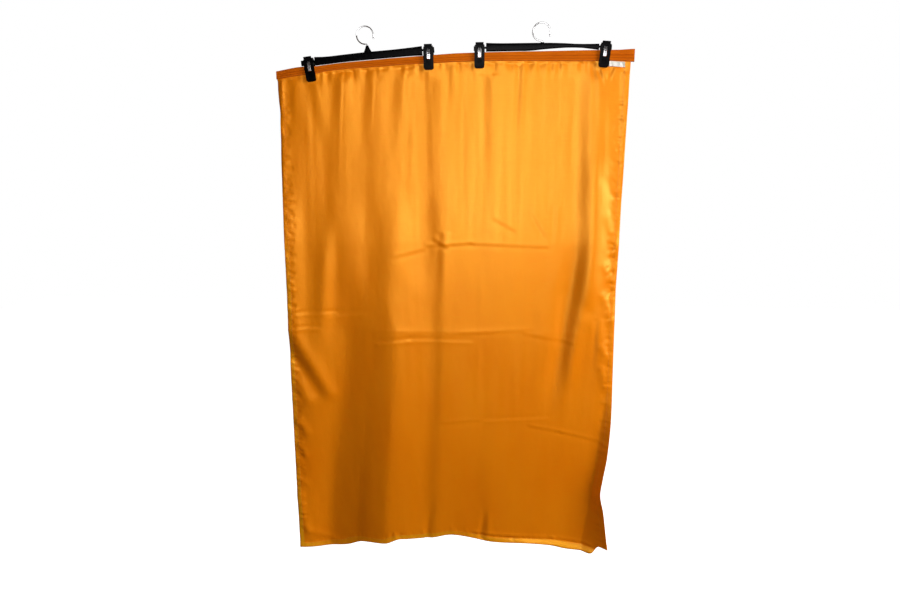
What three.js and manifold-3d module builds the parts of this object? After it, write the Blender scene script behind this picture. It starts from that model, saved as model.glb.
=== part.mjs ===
// A worship flag: a satin panel gathered into a heading band, hung from two clip hangers.
// Millimetres, +Z up, the front facing -Y. The origin is the saddle of the left hook, where a level
// rail carries it. Every table below is written on the flag's own sheet: x runs from the middle of
// the heading, z from the height of its ends' mean, and y is depth, positive towards the back.

import * as THREE from "three";
import { mergeVertices } from "three/addons/utils/BufferGeometryUtils.js";
import Module from "manifold-3d";

const wasm = await Module();
wasm.setup();

// Driving dimensions of the cloth

const CLOTH_THICK = 1.6;
const HEM_WIDE = 15;
const HEM_EXTRA = 0.9;
const HEM_STEP = 1.5;
const HEM_FLARE = 24;
const GATHER_FALL = 45;
const SWING = { from: -950, power: 1.3 };
const FLANK_POWER = 1.08;
const HEAD_POWER = 0.5;
const STEP_RISE = 2.3;
const PIECE_GAP = 0.3;

// The band's section: its crown, its shoulders, the slit between its two leaves, and the pocket over
// the panel's top edge, which reaches `tuck` above the seam.
const BAND = {
  leaf: 1.2,
  tuck: 8,
  ease: 2,
  slitHalf: 0.5,
  crownHalf: 1.2,
  crownFall: 0.6,
  shoulderHalf: 1.7,
  shoulderFall: 2.2,
};
const HALF_WIDE = 457;
const HEAD_Z = -30;
const WAIST_Z = -700;
const FOOT_Z = -1360;

// How finely the cloth is divided: the panel's even stops, its extra rows under its top edge, and the
// band's stations.
const GRID = { across: 62, down: 27, topRows: [8, 17, 30], band: 53 };

// The heading: the height of its top edge, how tall the band shows below it, and how far it stands
// back from the hangers' plane.
const HEADING = [
  { x: -457, z: -18, tall: 20, y: 3 },
  { x: -395, z: -8.8, tall: 21.5, y: 0 },
  { x: -350, z: -7, tall: 18.5, y: 0 },
  { x: -322, z: -4, tall: 16.5, y: 0.8 },
  { x: -272, z: 1.1, tall: 16.5, y: 1.5 },
  { x: -212, z: 5.3, tall: 17.8, y: 2 },
  { x: -152, z: 9.4, tall: 18.4, y: 1.2 },
  { x: -80, z: 13.2, tall: 19.4, y: 0 },
  { x: 10, z: 17.9, tall: 21, y: -1.5 },
  { x: 100, z: 19.7, tall: 21.4, y: 0 },
  { x: 230, z: 20.3, tall: 24, y: 2 },
  { x: 350, z: 20.3, tall: 26.6, y: 0 },
  { x: 400, z: 20.2, tall: 26, y: -1 },
  { x: 457, z: 19.5, tall: 29, y: -3 },
];

// The panel's two side edges.
const SIDES = [
  { z: 20, left: -455, right: 449 },
  { z: -40, left: -456, right: 449 },
  { z: -90, left: -455, right: 449 },
  { z: -130, left: -452, right: 448.5 },
  { z: -250, left: -455, right: 447 },
  { z: -400, left: -452, right: 444 },
  { z: -580, left: -452, right: 442 },
  { z: -660, left: -453, right: 442.5 },
  { z: -740, left: -455, right: 443.5 },
  { z: -930, left: -456, right: 445.5 },
  { z: -1050, left: -457, right: 438.5 },
  { z: -1120, left: -457, right: 428.5 },
  { z: -1165, left: -457, right: 424 },
  { z: -1214, left: -457, right: 434 },
  { z: -1263, left: -456, right: 441 },
  { z: -1350, left: -455, right: 452 },
  { z: -1390, left: -454, right: 452 },
];

// The bottom edge, with how far the foot of the cloth swings back and how far its hem flares forward.
const FOOT = [
  { x: -460, z: -1384, back: -4, flare: 3 },
  { x: -410, z: -1384, back: -2, flare: 3 },
  { x: -353, z: -1378.5, back: 3, flare: 2 },
  { x: -322, z: -1371.5, back: 4, flare: 1 },
  { x: -275, z: -1353.5, back: 5, flare: 1 },
  { x: -196, z: -1346.5, back: 5, flare: 1 },
  { x: -158, z: -1334, back: 6, flare: 0 },
  { x: -130, z: -1333, back: 6, flare: 0 },
  { x: -60, z: -1329, back: 8, flare: 0 },
  { x: 10, z: -1317.5, back: 9, flare: 0 },
  { x: 130, z: -1333.5, back: 7, flare: 2 },
  { x: 250, z: -1333.7, back: 6, flare: 7 },
  { x: 310, z: -1337, back: 6, flare: 8 },
  { x: 350, z: -1344.5, back: 5, flare: 9 },
  { x: 400, z: -1348, back: 2, flare: 8 },
  { x: 428, z: -1349.5, back: 0, flare: 6 },
  { x: 452, z: -1326, back: -2, flare: 4 },
];

// How far the cloth leans forward on its way down.
const LEAN = [
  { z: -30, forward: 0 },
  { z: -90, forward: 0 },
  { z: -200, forward: 2 },
  { z: -330, forward: 9 },
  { z: -455, forward: 17.5 },
  { z: -480, forward: 18 },
  { z: -560, forward: 18.2 },
  { z: -720, forward: 16.5 },
  { z: -900, forward: 13 },
  { z: -1100, forward: 9 },
  { z: -1250, forward: 8 },
  { z: -1390, forward: 10 },
];

// The main folds. Each is a flank of cloth that comes towards the viewer as x grows (or goes away,
// where its depth is negative). Its place, depth and width are given at the heading, the waist and the
// foot, and `soft` rounds its two edges. Between the flanks the cloth falls back evenly.
const FOLDS = [
  { place: [-412, -436, -440], deep: [3, 4, 1], wide: [24, 24, 20], soft: 6 },
  { place: [-298, -405, -420], deep: [4, 4, 0], wide: [16, 60, 40], soft: 6 },
  { place: [-335, -345, -402], deep: [-1.5, -6, -9], wide: [30, 50, 60], soft: 10 },
  { place: [-262, -266, -310], deep: [-6, 20, 31], wide: [50, 80, 96], soft: 8 },
  { place: [-212, -183, -228], deep: [2.5, 17, 22], wide: [36, 60, 68], soft: 6 },
  { place: [-100, -105, -105], deep: [0, -10, -8], wide: [90, 100, 100], soft: 15 },
  { place: [-44, -32, -56], deep: [4, 5.5, 6], wide: [28, 24, 22], soft: 6 },
  { place: [95, 103, 100], deep: [2, 0, 3], wide: [24, 24, 20], soft: 8 },
  { place: [340, 362, 366], deep: [7, 2, 0], wide: [32, 30, 26], soft: 5 },
];

// The lower right flank: the crease from which the side edge comes forward, and how far forward.
const FLANK = [
  { z: -840, crease: 430, forward: 0 },
  { z: -900, crease: 426, forward: 5 },
  { z: -980, crease: 419, forward: 14 },
  { z: -1080, crease: 411, forward: 23 },
  { z: -1200, crease: 398, forward: 30 },
  { z: -1290, crease: 386, forward: 33 },
  { z: -1370, crease: 372, forward: 34 },
];

// Placed creases, each from one end to the other: hollows, ridges (deep below 0) and, where `step` is
// 1, narrow flanks with a hollow on one side and a ridge on the other.
const SLANTS = [
  { fromX: -475, fromZ: -720, toX: -385, toZ: -885, wide: 24, deep: 4.5, step: 0 },
  { fromX: -448, fromZ: -705, toX: -345, toZ: -890, wide: 22, deep: -4.5, step: 0 },
  { fromX: -262, fromZ: -300, toX: -262, toZ: -540, wide: 26, deep: -1.2, step: 1 },
  { fromX: -108, fromZ: -340, toX: -114, toZ: -570, wide: 50, deep: -2.6, step: 1 },
  { fromX: -418, fromZ: -330, toX: -414, toZ: -720, wide: 36, deep: -5, step: 1 },
  { fromX: 344, fromZ: -240, toX: 358, toZ: -520, wide: 34, deep: 0.8, step: 1 },
  { fromX: 324, fromZ: -560, toX: 330, toZ: -930, wide: 28, deep: 5.5, step: 1 },
  { fromX: 404, fromZ: -330, toX: 410, toZ: -720, wide: 40, deep: -5.5, step: 1 },
  { fromX: 418, fromZ: -700, toX: 420, toZ: -800, wide: 16, deep: -1.4, step: 1 },
  { fromX: -316, fromZ: -430, toX: -345, toZ: -720, wide: 24, deep: -2.2, step: 1 },
  { fromX: 452, fromZ: -560, toX: 380, toZ: -640, wide: 24, deep: 4, step: 0 },
];

// The label: its ends, its size, its slope, how its foot stands off and how far it starts below the seam.
const LABEL = {
  left: 396,
  right: 435,
  tall: 12.5,
  thick: 1,
  tilt: 0.02,
  lift: 1.2,
  drop: 0.6,
  cellsAcross: 6,
  cellsDown: 3,
};

// Driving dimensions of the hangers

const RAIL_Z = 85.5;
const NECK = { half: 2.5, bore: 4.1, clipAt: 16.2, reach: 29.4 };
const STOP_HALF = 3.6;
const WIRE = 1.6;
const HOOK_BORE = 2;
const BAR_SIDES = 16;
const ROUND_SIDES = { bore: 12, neck: 16, wire: 8, strip: 8 };
const TURN_STEPS = { corner: 4, bend: 4, loop: 26, flare: 3, strip: 8 };
const OUTLINE = { ellipse: 2, softSquare: 4, flat: 8 };
const BAR_STATIONS = 15;
const LOOP = { radius: 21.6, bend: 3, tipTurn: 0.22, flareRadius: 9, flareTurn: 0.7, stem: 12 };

// Each bar: its middle, its tilt (the right end up), the edge heights of its moulding from its left
// end to its right end, and the boss that takes the hook, which is sunk a little into the moulding.
const BARS = {
  left: {
    x: -212,
    z: 16,
    tilt: 0.08,
    half: 140,
    stop: { leftLong: 7, rightLong: 1.5, top: 4.5, bottom: -9 },
    body: [
      { along: -140, top: 10.3, bottom: -10.8, half: 4.6 },
      { along: -110, top: 8.2, bottom: -10.3, half: 4.3 },
      { along: -60, top: 8.8, bottom: -9.3, half: 4.2 },
      { along: 0, top: 9.2, bottom: -9.9, half: 4.2 },
      { along: 60, top: 8.5, bottom: -10.6, half: 4.2 },
      { along: 110, top: 8.9, bottom: -11.3, half: 4.3 },
      { along: 140, top: 9.7, bottom: -13, half: 4.6 },
    ],
    boss: [
      { up: -2.5, wide: 10.5, deep: 4 },
      { up: 0, wide: 10.5, deep: 4 },
      { up: 5, wide: 7.6, deep: 3.9 },
      { up: 10.5, wide: 5, deep: 3.7 },
      { up: 15.5, wide: 3.3, deep: 3.3 },
    ],
  },
  right: {
    x: 230,
    z: 29.2,
    tilt: -0.0075,
    half: 140,
    stop: { leftLong: 1.5, rightLong: 1.5, top: 4.5, bottom: -7.5 },
    body: [
      { along: -140, top: 11.2, bottom: -9.3, half: 4.6 },
      { along: -110, top: 10.1, bottom: -9, half: 4.3 },
      { along: -60, top: 10, bottom: -8.6, half: 4.2 },
      { along: -30, top: 10.1, bottom: -8.3, half: 4.2 },
      { along: 0, top: 10.1, bottom: -5.4, half: 4.2 },
      { along: 30, top: 9.6, bottom: -3.2, half: 4 },
      { along: 60, top: 8.4, bottom: -1.6, half: 3.8 },
      { along: 80, top: 7, bottom: -1.6, half: 3.8 },
      { along: 105, top: 6.4, bottom: -2.8, half: 4 },
      { along: 125, top: 6.4, bottom: -5.6, half: 4.3 },
      { along: 140, top: 6.6, bottom: -7.4, half: 4.6 },
    ],
    boss: [
      { up: -2.5, wide: 5.6, deep: 4 },
      { up: 0, wide: 5.6, deep: 4 },
      { up: 1.2, wide: 4.4, deep: 3.8 },
    ],
  },
};

// Each clip: the bar that carries it, its side of it, and its lean (the top to the left).
const CLIPS = [
  { name: "clip_1", bar: "left", side: -1, lean: 0.125 },
  { name: "clip_2", bar: "left", side: 1, lean: 0.025 },
  { name: "clip_3", bar: "right", side: -1, lean: 0.0 },
  { name: "clip_4", bar: "right", side: 1, lean: -0.079 },
];

const JAW = {
  topHalf: 10,
  half: 12.7,
  top: 11,
  shoulder: 3.1,
  shoulderFall: 2.6,
  bottom: -49.5,
  corner: 6,
  blank: 30,
};
const WINDOW = { half: 4.6, top: 1, bottom: -25, corner: 1.8 };
const CHEEK = { inner: 8.6, outer: 12.2, root: 7.5, tall: 6, chamfer: 1.2, gap: 0.25 };
const STRIP = { half: 3.8, thick: 0.9, bend: 4.35 };
const GRIP = { hold: 14, soft: 30 };

// A jaw's side view, from its top lever to the tip that holds the cloth: inner and outer faces.
const JAW_SIDE = [
  { z: 11.5, inner: 8.6, outer: 12.4 },
  { z: 3, inner: 5.8, outer: 9.8 },
  { z: -10, inner: 4.9, outer: 8.6 },
  { z: -34, inner: 3.1, outer: 6.9 },
  { z: -40, inner: 2.9, outer: 6.3 },
  { z: -42.5, inner: 1.1, outer: 6.1 },
  { z: -50, inner: 1.1, outer: 4.6 },
];

// The spring's front leg, from under its bend to its free end.
const LEG = [
  { z: -3, y: 5.0 },
  { z: -9, y: 6.5 },
  { z: -16, y: 6.6 },
  { z: -23, y: 5.7 },
];

const COLOURS = {
  satin: { color: 0xf59a1c, roughness: 0.45, metalness: 0 },
  band: { color: 0xd0660f, roughness: 0.65, metalness: 0 },
  label: { color: 0xf3efe6, roughness: 0.8, metalness: 0 },
  plastic: { color: 0x0d0d0e, roughness: 0.35, metalness: 0 },
  steel: { color: 0xc8c8c8, roughness: 0.3, metalness: 1 },
};

// Curves

// A smooth curve through a table's rows: column `to` as a function of column `from`.
function through(table, from, to) {
  const rows = [...table].sort((a, b) => a[from] - b[from]);
  const slope = (i) => {
    const before = rows[Math.max(i - 1, 0)];
    const after = rows[Math.min(i + 1, rows.length - 1)];
    return (after[to] - before[to]) / (after[from] - before[from]);
  };
  return (value) => {
    const held = THREE.MathUtils.clamp(value, rows[0][from], rows.at(-1)[from]);
    const i = Math.min(
      rows.findLastIndex((row) => row[from] <= held),
      rows.length - 2,
    );
    const span = rows[i + 1][from] - rows[i][from];
    const t = (held - rows[i][from]) / span;
    const rise = rows[i + 1][to] - rows[i][to];
    const bow = t * (1 - t) * ((1 - t) * (slope(i) * span - rise) - t * (slope(i + 1) * span - rise));
    return rows[i][to] + t * rise + bow;
  };
}

// Rises from 0 to 1 over a width, evenly, with soft ends.
function softStep(aside, wide, soft) {
  const bend = (value) => Math.max(value, 0) + Math.log1p(Math.exp(-Math.abs(value)));
  return ((bend((aside + wide / 2) / soft) - bend((aside - wide / 2) / soft)) * soft) / wide;
}

const lerp = THREE.MathUtils.lerp;
const ramp = THREE.MathUtils.smoothstep;

const headingZ = through(HEADING, "x", "z");
const headingY = through(HEADING, "x", "y");
const bandTall = through(HEADING, "x", "tall");
const leftX = through(SIDES, "z", "left");
const rightX = through(SIDES, "z", "right");
const footZ = through(FOOT, "x", "z");
const footBack = through(FOOT, "x", "back");
const footFlare = through(FOOT, "x", "flare");
const creaseX = through(FLANK, "z", "crease");
const flankForward = through(FLANK, "z", "forward");
const leanForward = through(LEAN, "z", "forward");

// A fold's value between its head, its waist and its foot.
function alongFold(z, [head, waist, foot]) {
  if (z > WAIST_Z) return lerp(waist, head, ramp(z, WAIST_Z, HEAD_Z) ** HEAD_POWER);
  return lerp(foot, waist, ramp(z, FOOT_Z, WAIST_Z));
}

// Places of the hangers

// A point of a bar's own frame on the flag's sheet.
function onBar(bar, along, up) {
  const { x, z, tilt } = BARS[bar];
  return {
    x: x + along * Math.cos(tilt) - up * Math.sin(tilt),
    z: z + along * Math.sin(tilt) + up * Math.cos(tilt),
  };
}

const clipAlong = BARS.left.half + NECK.clipAt;
const GRIPS = CLIPS.map(({ bar, side, lean }) => {
  const pivot = onBar(bar, side * clipAlong, 0);
  const down = -JAW.bottom;
  return { x: pivot.x + down * Math.sin(lean), z: pivot.z - down * Math.cos(lean) };
});

// How far above its bar's middle a hook's loop has its centre, so that every saddle is at one height.
function loopUp(bar) {
  const { z, tilt } = BARS[bar];
  const centreZ = RAIL_Z - LOOP.radius + WIRE;
  return (centreZ - z + LOOP.bend * Math.sin(tilt)) / Math.cos(tilt);
}

// The band's depth: it bows a little between the clips and is straight inside them.
function bandY(x) {
  const bow = GRIPS.reduce((part, grip) => {
    return part * ramp(Math.abs(x - grip.x), GRIP.hold, GRIP.hold + 2 * GRIP.soft);
  }, 1);
  return headingY(x) * bow;
}

// The panel

// 0 where a clip holds the cloth flat, 1 where it hangs free.
function freeOfClips(x, z) {
  return GRIPS.reduce((free, grip) => {
    const aside = Math.max(Math.abs(x - grip.x) - GRIP.hold, 0);
    const below = Math.max(grip.z - z, 0);
    return free * ramp(Math.hypot(aside, below), 0, GRIP.soft);
  }, 1);
}

function foldDepth(x, z) {
  const left = leftX(z);
  const right = rightX(z);
  const across = (x - left) / (right - left);
  return FOLDS.reduce((depth, fold) => {
    const aside = x - alongFold(z, fold.place);
    const step = softStep(aside, alongFold(z, fold.wide), fold.soft);
    return depth + alongFold(z, fold.deep) * (across - step);
  }, 0);
}

function slantDepth(x, z) {
  return SLANTS.reduce((depth, slant) => {
    const run = new THREE.Vector2(slant.toX - slant.fromX, slant.toZ - slant.fromZ);
    const from = new THREE.Vector2(x - slant.fromX, z - slant.fromZ);
    const along = from.dot(run) / run.lengthSq();
    const aside = from.cross(run) / run.length() / slant.wide;
    const end = Math.max(-along, along - 1, 0) * (run.length() / slant.wide);
    const shape = Math.exp(-aside * aside - end * end);
    return depth + slant.deep * shape * lerp(1, STEP_RISE * aside, slant.step);
  }, 0);
}

function footDepth(x, z) {
  const fall = ramp(-z, -SWING.from, -FOOT_Z) ** SWING.power;
  const hem = ramp(footZ(x) + HEM_FLARE - z, 0, HEM_FLARE);
  return footBack(x) * fall - footFlare(x) * hem;
}

function flankDepth(x, z) {
  const reach = (x - creaseX(z)) / (rightX(z) - creaseX(z));
  return -flankForward(z) * Math.max(reach, 0) ** FLANK_POWER;
}

function panelDepth(x, z) {
  const seam = headingZ(x) - bandTall(x);
  const free = freeOfClips(x, z) * ramp(seam - z, 0, GATHER_FALL);
  const folded = foldDepth(x, z) + slantDepth(x, z) + flankDepth(x, z);
  const hung = folded + footDepth(x, z) - leanForward(z);
  return lerp(bandY(x) * ramp(z - seam, -GATHER_FALL, 0), hung, free);
}

function panelPoint(across, down) {
  const topX = lerp(leftX(HEAD_Z), rightX(HEAD_Z), across);
  const top = headingZ(topX) - bandTall(topX) + BAND.tuck;
  const bottom = footZ(lerp(leftX(FOOT_Z), rightX(FOOT_Z), across));
  const z = lerp(top, bottom, down);
  const x = lerp(leftX(z), rightX(z), across);
  return new THREE.Vector3(x, panelDepth(x, z), z);
}

// Closed solids

function geometryOf(points, index) {
  const geometry = new THREE.BufferGeometry().setFromPoints(points);
  geometry.setIndex(index);
  geometry.computeVertexNormals();
  return geometry;
}

// A sheet with thickness: `point` gives its middle surface, `thick` its front and back offsets.
function sheetGeometry(point, thick, acrossStops, downStops) {
  const rows = downStops.length;
  const count = acrossStops.length * rows;
  const nudge = 1e-3;
  const layers = [[], []];
  for (const across of acrossStops) {
    for (const down of downStops) {
      const middle = point(across, down);
      const inward = down > 0.5 ? -nudge : nudge;
      const aside = across > 0.5 ? -nudge : nudge;
      const dAcross = point(across + aside, down).sub(middle).multiplyScalar(Math.sign(aside));
      const dDown = point(across, down + inward).sub(middle).multiplyScalar(Math.sign(inward));
      const normal = dAcross.cross(dDown).normalize();
      const { front, back } = thick(across, down);
      layers[0].push(middle.clone().addScaledVector(normal, -front));
      layers[1].push(middle.clone().addScaledVector(normal, back));
    }
  }
  const index = [];
  const quad = (a, b, c, d) => index.push(a, b, c, a, c, d);
  const at = (layer, i, j) => layer * count + i * rows + j;
  const lastAcross = acrossStops.length - 1;
  const lastDown = rows - 1;
  for (let i = 0; i < lastAcross; i++) {
    for (let j = 0; j < lastDown; j++) {
      quad(at(0, i, j), at(0, i, j + 1), at(0, i + 1, j + 1), at(0, i + 1, j));
      quad(at(1, i, j), at(1, i + 1, j), at(1, i + 1, j + 1), at(1, i, j + 1));
    }
    quad(at(0, i, 0), at(0, i + 1, 0), at(1, i + 1, 0), at(1, i, 0));
    quad(at(0, i, lastDown), at(1, i, lastDown), at(1, i + 1, lastDown), at(0, i + 1, lastDown));
  }
  for (let j = 0; j < lastDown; j++) {
    quad(at(0, 0, j), at(1, 0, j), at(1, 0, j + 1), at(0, 0, j + 1));
    const front = at(0, lastAcross, j);
    const back = at(1, lastAcross, j);
    quad(front, front + 1, back + 1, back);
  }
  return geometryOf([...layers[0], ...layers[1]], index);
}

// A closed solid through rings of equally many points. `outline` is a ring's flat shape, counter-
// clockwise seen from the last ring's side, and gives the two end caps.
function loftGeometry(rings, outline) {
  const count = outline.length;
  const index = [];
  for (let r = 0; r < rings.length - 1; r++) {
    for (let i = 0; i < count; i++) {
      const a = r * count + i;
      const b = r * count + ((i + 1) % count);
      index.push(a, b, a + count, b, b + count, a + count);
    }
  }
  const last = (rings.length - 1) * count;
  for (const [a, b, c] of THREE.ShapeUtils.triangulateShape(outline, [])) {
    index.push(c, b, a);
    index.push(last + a, last + b, last + c);
  }
  return geometryOf(rings.flat(), index);
}

// A flat path swept with one outline: `side` is the direction at right angles to the path's plane.
function sweepGeometry(path, side, outline) {
  const rings = path.map((point, i) => {
    const before = path[Math.max(i - 1, 0)];
    const after = path[Math.min(i + 1, path.length - 1)];
    const ahead = after.clone().sub(before).normalize();
    const across = side.clone().cross(ahead);
    return outline.map(({ x, y }) =>
      point.clone().addScaledVector(across, x).addScaledVector(side, y),
    );
  });
  return loftGeometry(rings, outline);
}

// A rounded box's outline as a superellipse: power 2 is an ellipse, 4 a soft square.
function roundedOutline(halfX, halfY, power, sides) {
  return Array.from({ length: sides }, (_, i) => {
    const turn = ((i + 0.5) / sides) * 2 * Math.PI;
    const bulge = (value) => Math.sign(value) * Math.abs(value) ** (2 / power);
    return new THREE.Vector2(halfX * bulge(Math.cos(turn)), halfY * bulge(Math.sin(turn)));
  });
}

function extrudeGeometry(outline, depth, holes = []) {
  const shape = new THREE.Shape(outline);
  shape.holes = holes.map((hole) => new THREE.Path(hole));
  return new THREE.ExtrudeGeometry(shape, { depth, bevelEnabled: false });
}

// Booleans

function solidOf(geometry) {
  const bare = geometry.clone();
  bare.deleteAttribute("normal");
  bare.deleteAttribute("uv");
  const merged = mergeVertices(bare, 1e-4);
  const mesh = new wasm.Mesh({
    numProp: 3,
    vertProperties: merged.attributes.position.array,
    triVerts: new Uint32Array(merged.index.array),
  });
  return new wasm.Manifold(mesh);
}

function geometryFrom(solid) {
  const { vertProperties, triVerts } = solid.getMesh();
  const geometry = new THREE.BufferGeometry();
  geometry.setAttribute("position", new THREE.BufferAttribute(vertProperties, 3));
  geometry.setIndex(new THREE.BufferAttribute(triVerts, 1));
  geometry.computeVertexNormals();
  return geometry;
}

// Pieces of cloth

// Even stops from 0 to 1, with a narrow pair where the hem's fold ends at each edge that has one.
function stops(count, length, hemAtStart) {
  const hem = HEM_WIDE / length;
  const step = HEM_STEP / length;
  const from = hemAtStart ? hem : 0;
  const inner = Array.from({ length: count }, (_, i) => lerp(from, 1 - hem, i / (count - 1)));
  const start = hemAtStart ? [0, hem - step] : [];
  return [...start, ...inner, 1 - hem + step, 1];
}

function panelGeometry() {
  const wide = 2 * HALF_WIDE;
  const tall = HEAD_Z - FOOT_Z;
  const clear = (HEM_WIDE - HEM_STEP / 2) / wide;
  const clearFoot = 1 - (HEM_WIDE - HEM_STEP / 2) / tall;
  const tucked = BAND.tuck / tall;
  const thick = (across, down) => {
    const atSide = across < clear || across > 1 - clear;
    const hemmed = (atSide && down > tucked * 2) || down > clearFoot;
    return { front: CLOTH_THICK / 2, back: CLOTH_THICK / 2 + (hemmed ? HEM_EXTRA : 0) };
  };
  const nearTop = GRID.topRows.map((below) => below / tall);
  const rows = [...stops(GRID.down, tall, false), ...nearTop];
  rows.sort((a, b) => a - b);
  return sheetGeometry(panelPoint, thick, stops(GRID.across, wide, true), rows);
}

// The band's section, front leaf and back leaf folded over the panel's top edge, from its top down.
function bandSection(tall) {
  const inner = CLOTH_THICK / 2 + PIECE_GAP;
  const outer = inner + BAND.leaf;
  const pocket = BAND.tuck + 2 * PIECE_GAP - tall;
  const back = [
    [BAND.crownHalf, -BAND.crownFall],
    [BAND.shoulderHalf, -BAND.shoulderFall],
    [outer, pocket + BAND.ease],
    [outer, -tall],
    [inner, -tall],
    [inner, pocket],
    [BAND.slitHalf, pocket + BAND.ease],
    [BAND.slitHalf, -BAND.shoulderFall],
  ].map(([y, z]) => new THREE.Vector2(y, z));
  const front = back.map(({ x, y }) => new THREE.Vector2(-x, y));
  return [new THREE.Vector2(0, 0), ...front, ...back.reverse()];
}

function bandGeometry() {
  const last = GRID.band - 1;
  const rings = Array.from({ length: GRID.band }, (_, i) => {
    const x = lerp(-HALF_WIDE, HALF_WIDE, i / last);
    return bandSection(bandTall(x)).map(
      (point) => new THREE.Vector3(x, bandY(x) + point.x, headingZ(x) + point.y),
    );
  });
  return loftGeometry(rings, bandSection(bandTall(0)));
}

function labelGeometry() {
  const point = (across, down) => {
    const x = lerp(LABEL.left, LABEL.right, across);
    const top = headingZ(x) - bandTall(x) - LABEL.drop - LABEL.tilt * (x - LABEL.left);
    const z = top - LABEL.tall * down;
    const clear = CLOTH_THICK / 2 + LABEL.thick / 2 + PIECE_GAP * 2;
    return new THREE.Vector3(x, panelDepth(x, z) - clear - LABEL.lift * down, z);
  };
  const even = (count) => Array.from({ length: count + 1 }, (_, i) => i / count);
  const thick = () => ({ front: LABEL.thick / 2, back: LABEL.thick / 2 });
  return sheetGeometry(point, thick, even(LABEL.cellsAcross), even(LABEL.cellsDown));
}

// Pieces of the hangers

function barStations(bar) {
  const { half, body, stop } = BARS[bar];
  const neckEnd = half + NECK.reach;
  const top = through(body, "along", "top");
  const bottom = through(body, "along", "bottom");
  const thick = through(body, "along", "half");
  const end = { top: stop.top, bottom: stop.bottom, half: STOP_HALF };
  const neck = { top: NECK.half, bottom: -NECK.half, half: NECK.half };
  const moulding = Array.from({ length: BAR_STATIONS }, (_, i) => {
    const along = lerp(-half, half, i / (BAR_STATIONS - 1));
    return { along, top: top(along), bottom: bottom(along), half: thick(along) };
  });
  return [
    { along: -neckEnd - stop.leftLong, ...end },
    { along: -neckEnd, ...end },
    { along: -neckEnd, ...neck },
    { along: -half, ...neck },
    ...moulding,
    { along: half, ...neck },
    { along: neckEnd, ...neck },
    { along: neckEnd, ...end },
    { along: neckEnd + stop.rightLong, ...end },
  ];
}

function bossTop(bar) {
  const middle = BARS[bar].body.find(({ along }) => along === 0);
  return middle.top + BARS[bar].boss.at(-1).up;
}

function barGeometry(bar) {
  const rings = barStations(bar).map(({ along, top, bottom, half }) =>
    roundedOutline(half, (top - bottom) / 2, OUTLINE.softSquare, BAR_SIDES).map(
      ({ x, y }) => new THREE.Vector3(along, x, (top + bottom) / 2 + y),
    ),
  );
  const bossFoot = bossTop(bar) - BARS[bar].boss.at(-1).up;
  const bossRings = BARS[bar].boss.map(({ up, wide, deep }) =>
    roundedOutline(wide, deep, OUTLINE.ellipse, BAR_SIDES).map(
      ({ x, y }) => new THREE.Vector3(x, y, bossFoot + up),
    ),
  );
  const bore = new THREE.CylinderGeometry(HOOK_BORE, HOOK_BORE, 2 * LOOP.stem, ROUND_SIDES.bore);
  bore.rotateX(Math.PI / 2).translate(0, 0, bossTop(bar));
  const barCap = roundedOutline(1, 1, OUTLINE.softSquare, BAR_SIDES);
  const bossCap = roundedOutline(1, 1, OUTLINE.ellipse, BAR_SIDES);
  const moulding = solidOf(loftGeometry(rings, barCap));
  const boss = solidOf(loftGeometry(bossRings, bossCap));
  return geometryFrom(moulding.add(boss).subtract(solidOf(bore)));
}

// The hook in its bar's frame: a straight stem, a tight bend to the left, then a round loop over the
// rail, whose free tip turns out a little.
function hookPath(bar) {
  const centreX = -LOOP.bend;
  const centreZ = loopUp(bar);
  const at = (x, up) => new THREE.Vector3(x, 0, up);
  const arc = (x, up, radius, from, to, steps) =>
    Array.from({ length: steps + 1 }, (_, i) => {
      const turn = lerp(from, to, i / steps);
      return at(x + radius * Math.cos(turn), up + radius * Math.sin(turn));
    });
  const bendZ = centreZ - LOOP.radius - LOOP.bend;
  const tip = -LOOP.tipTurn;
  const flareX = centreX + (LOOP.radius + LOOP.flareRadius) * Math.cos(tip);
  const flareZ = centreZ + (LOOP.radius + LOOP.flareRadius) * Math.sin(tip);
  const flareFrom = Math.PI + tip;
  const flareTo = flareFrom + LOOP.flareTurn;
  return [
    at(0, bossTop(bar) - LOOP.stem + PIECE_GAP * 2),
    at(0, (bossTop(bar) + bendZ) / 2),
    ...arc(-LOOP.bend, bendZ, LOOP.bend, 0, Math.PI / 2, TURN_STEPS.bend),
    ...arc(centreX, centreZ, LOOP.radius, 1.5 * Math.PI, tip, TURN_STEPS.loop).slice(1),
    ...arc(flareX, flareZ, LOOP.flareRadius, flareFrom, flareTo, TURN_STEPS.flare).slice(1),
  ];
}

function hookGeometry(bar) {
  const wire = roundedOutline(WIRE, WIRE, OUTLINE.ellipse, ROUND_SIDES.wire);
  return sweepGeometry(hookPath(bar), new THREE.Vector3(0, 1, 0), wire);
}

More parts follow.
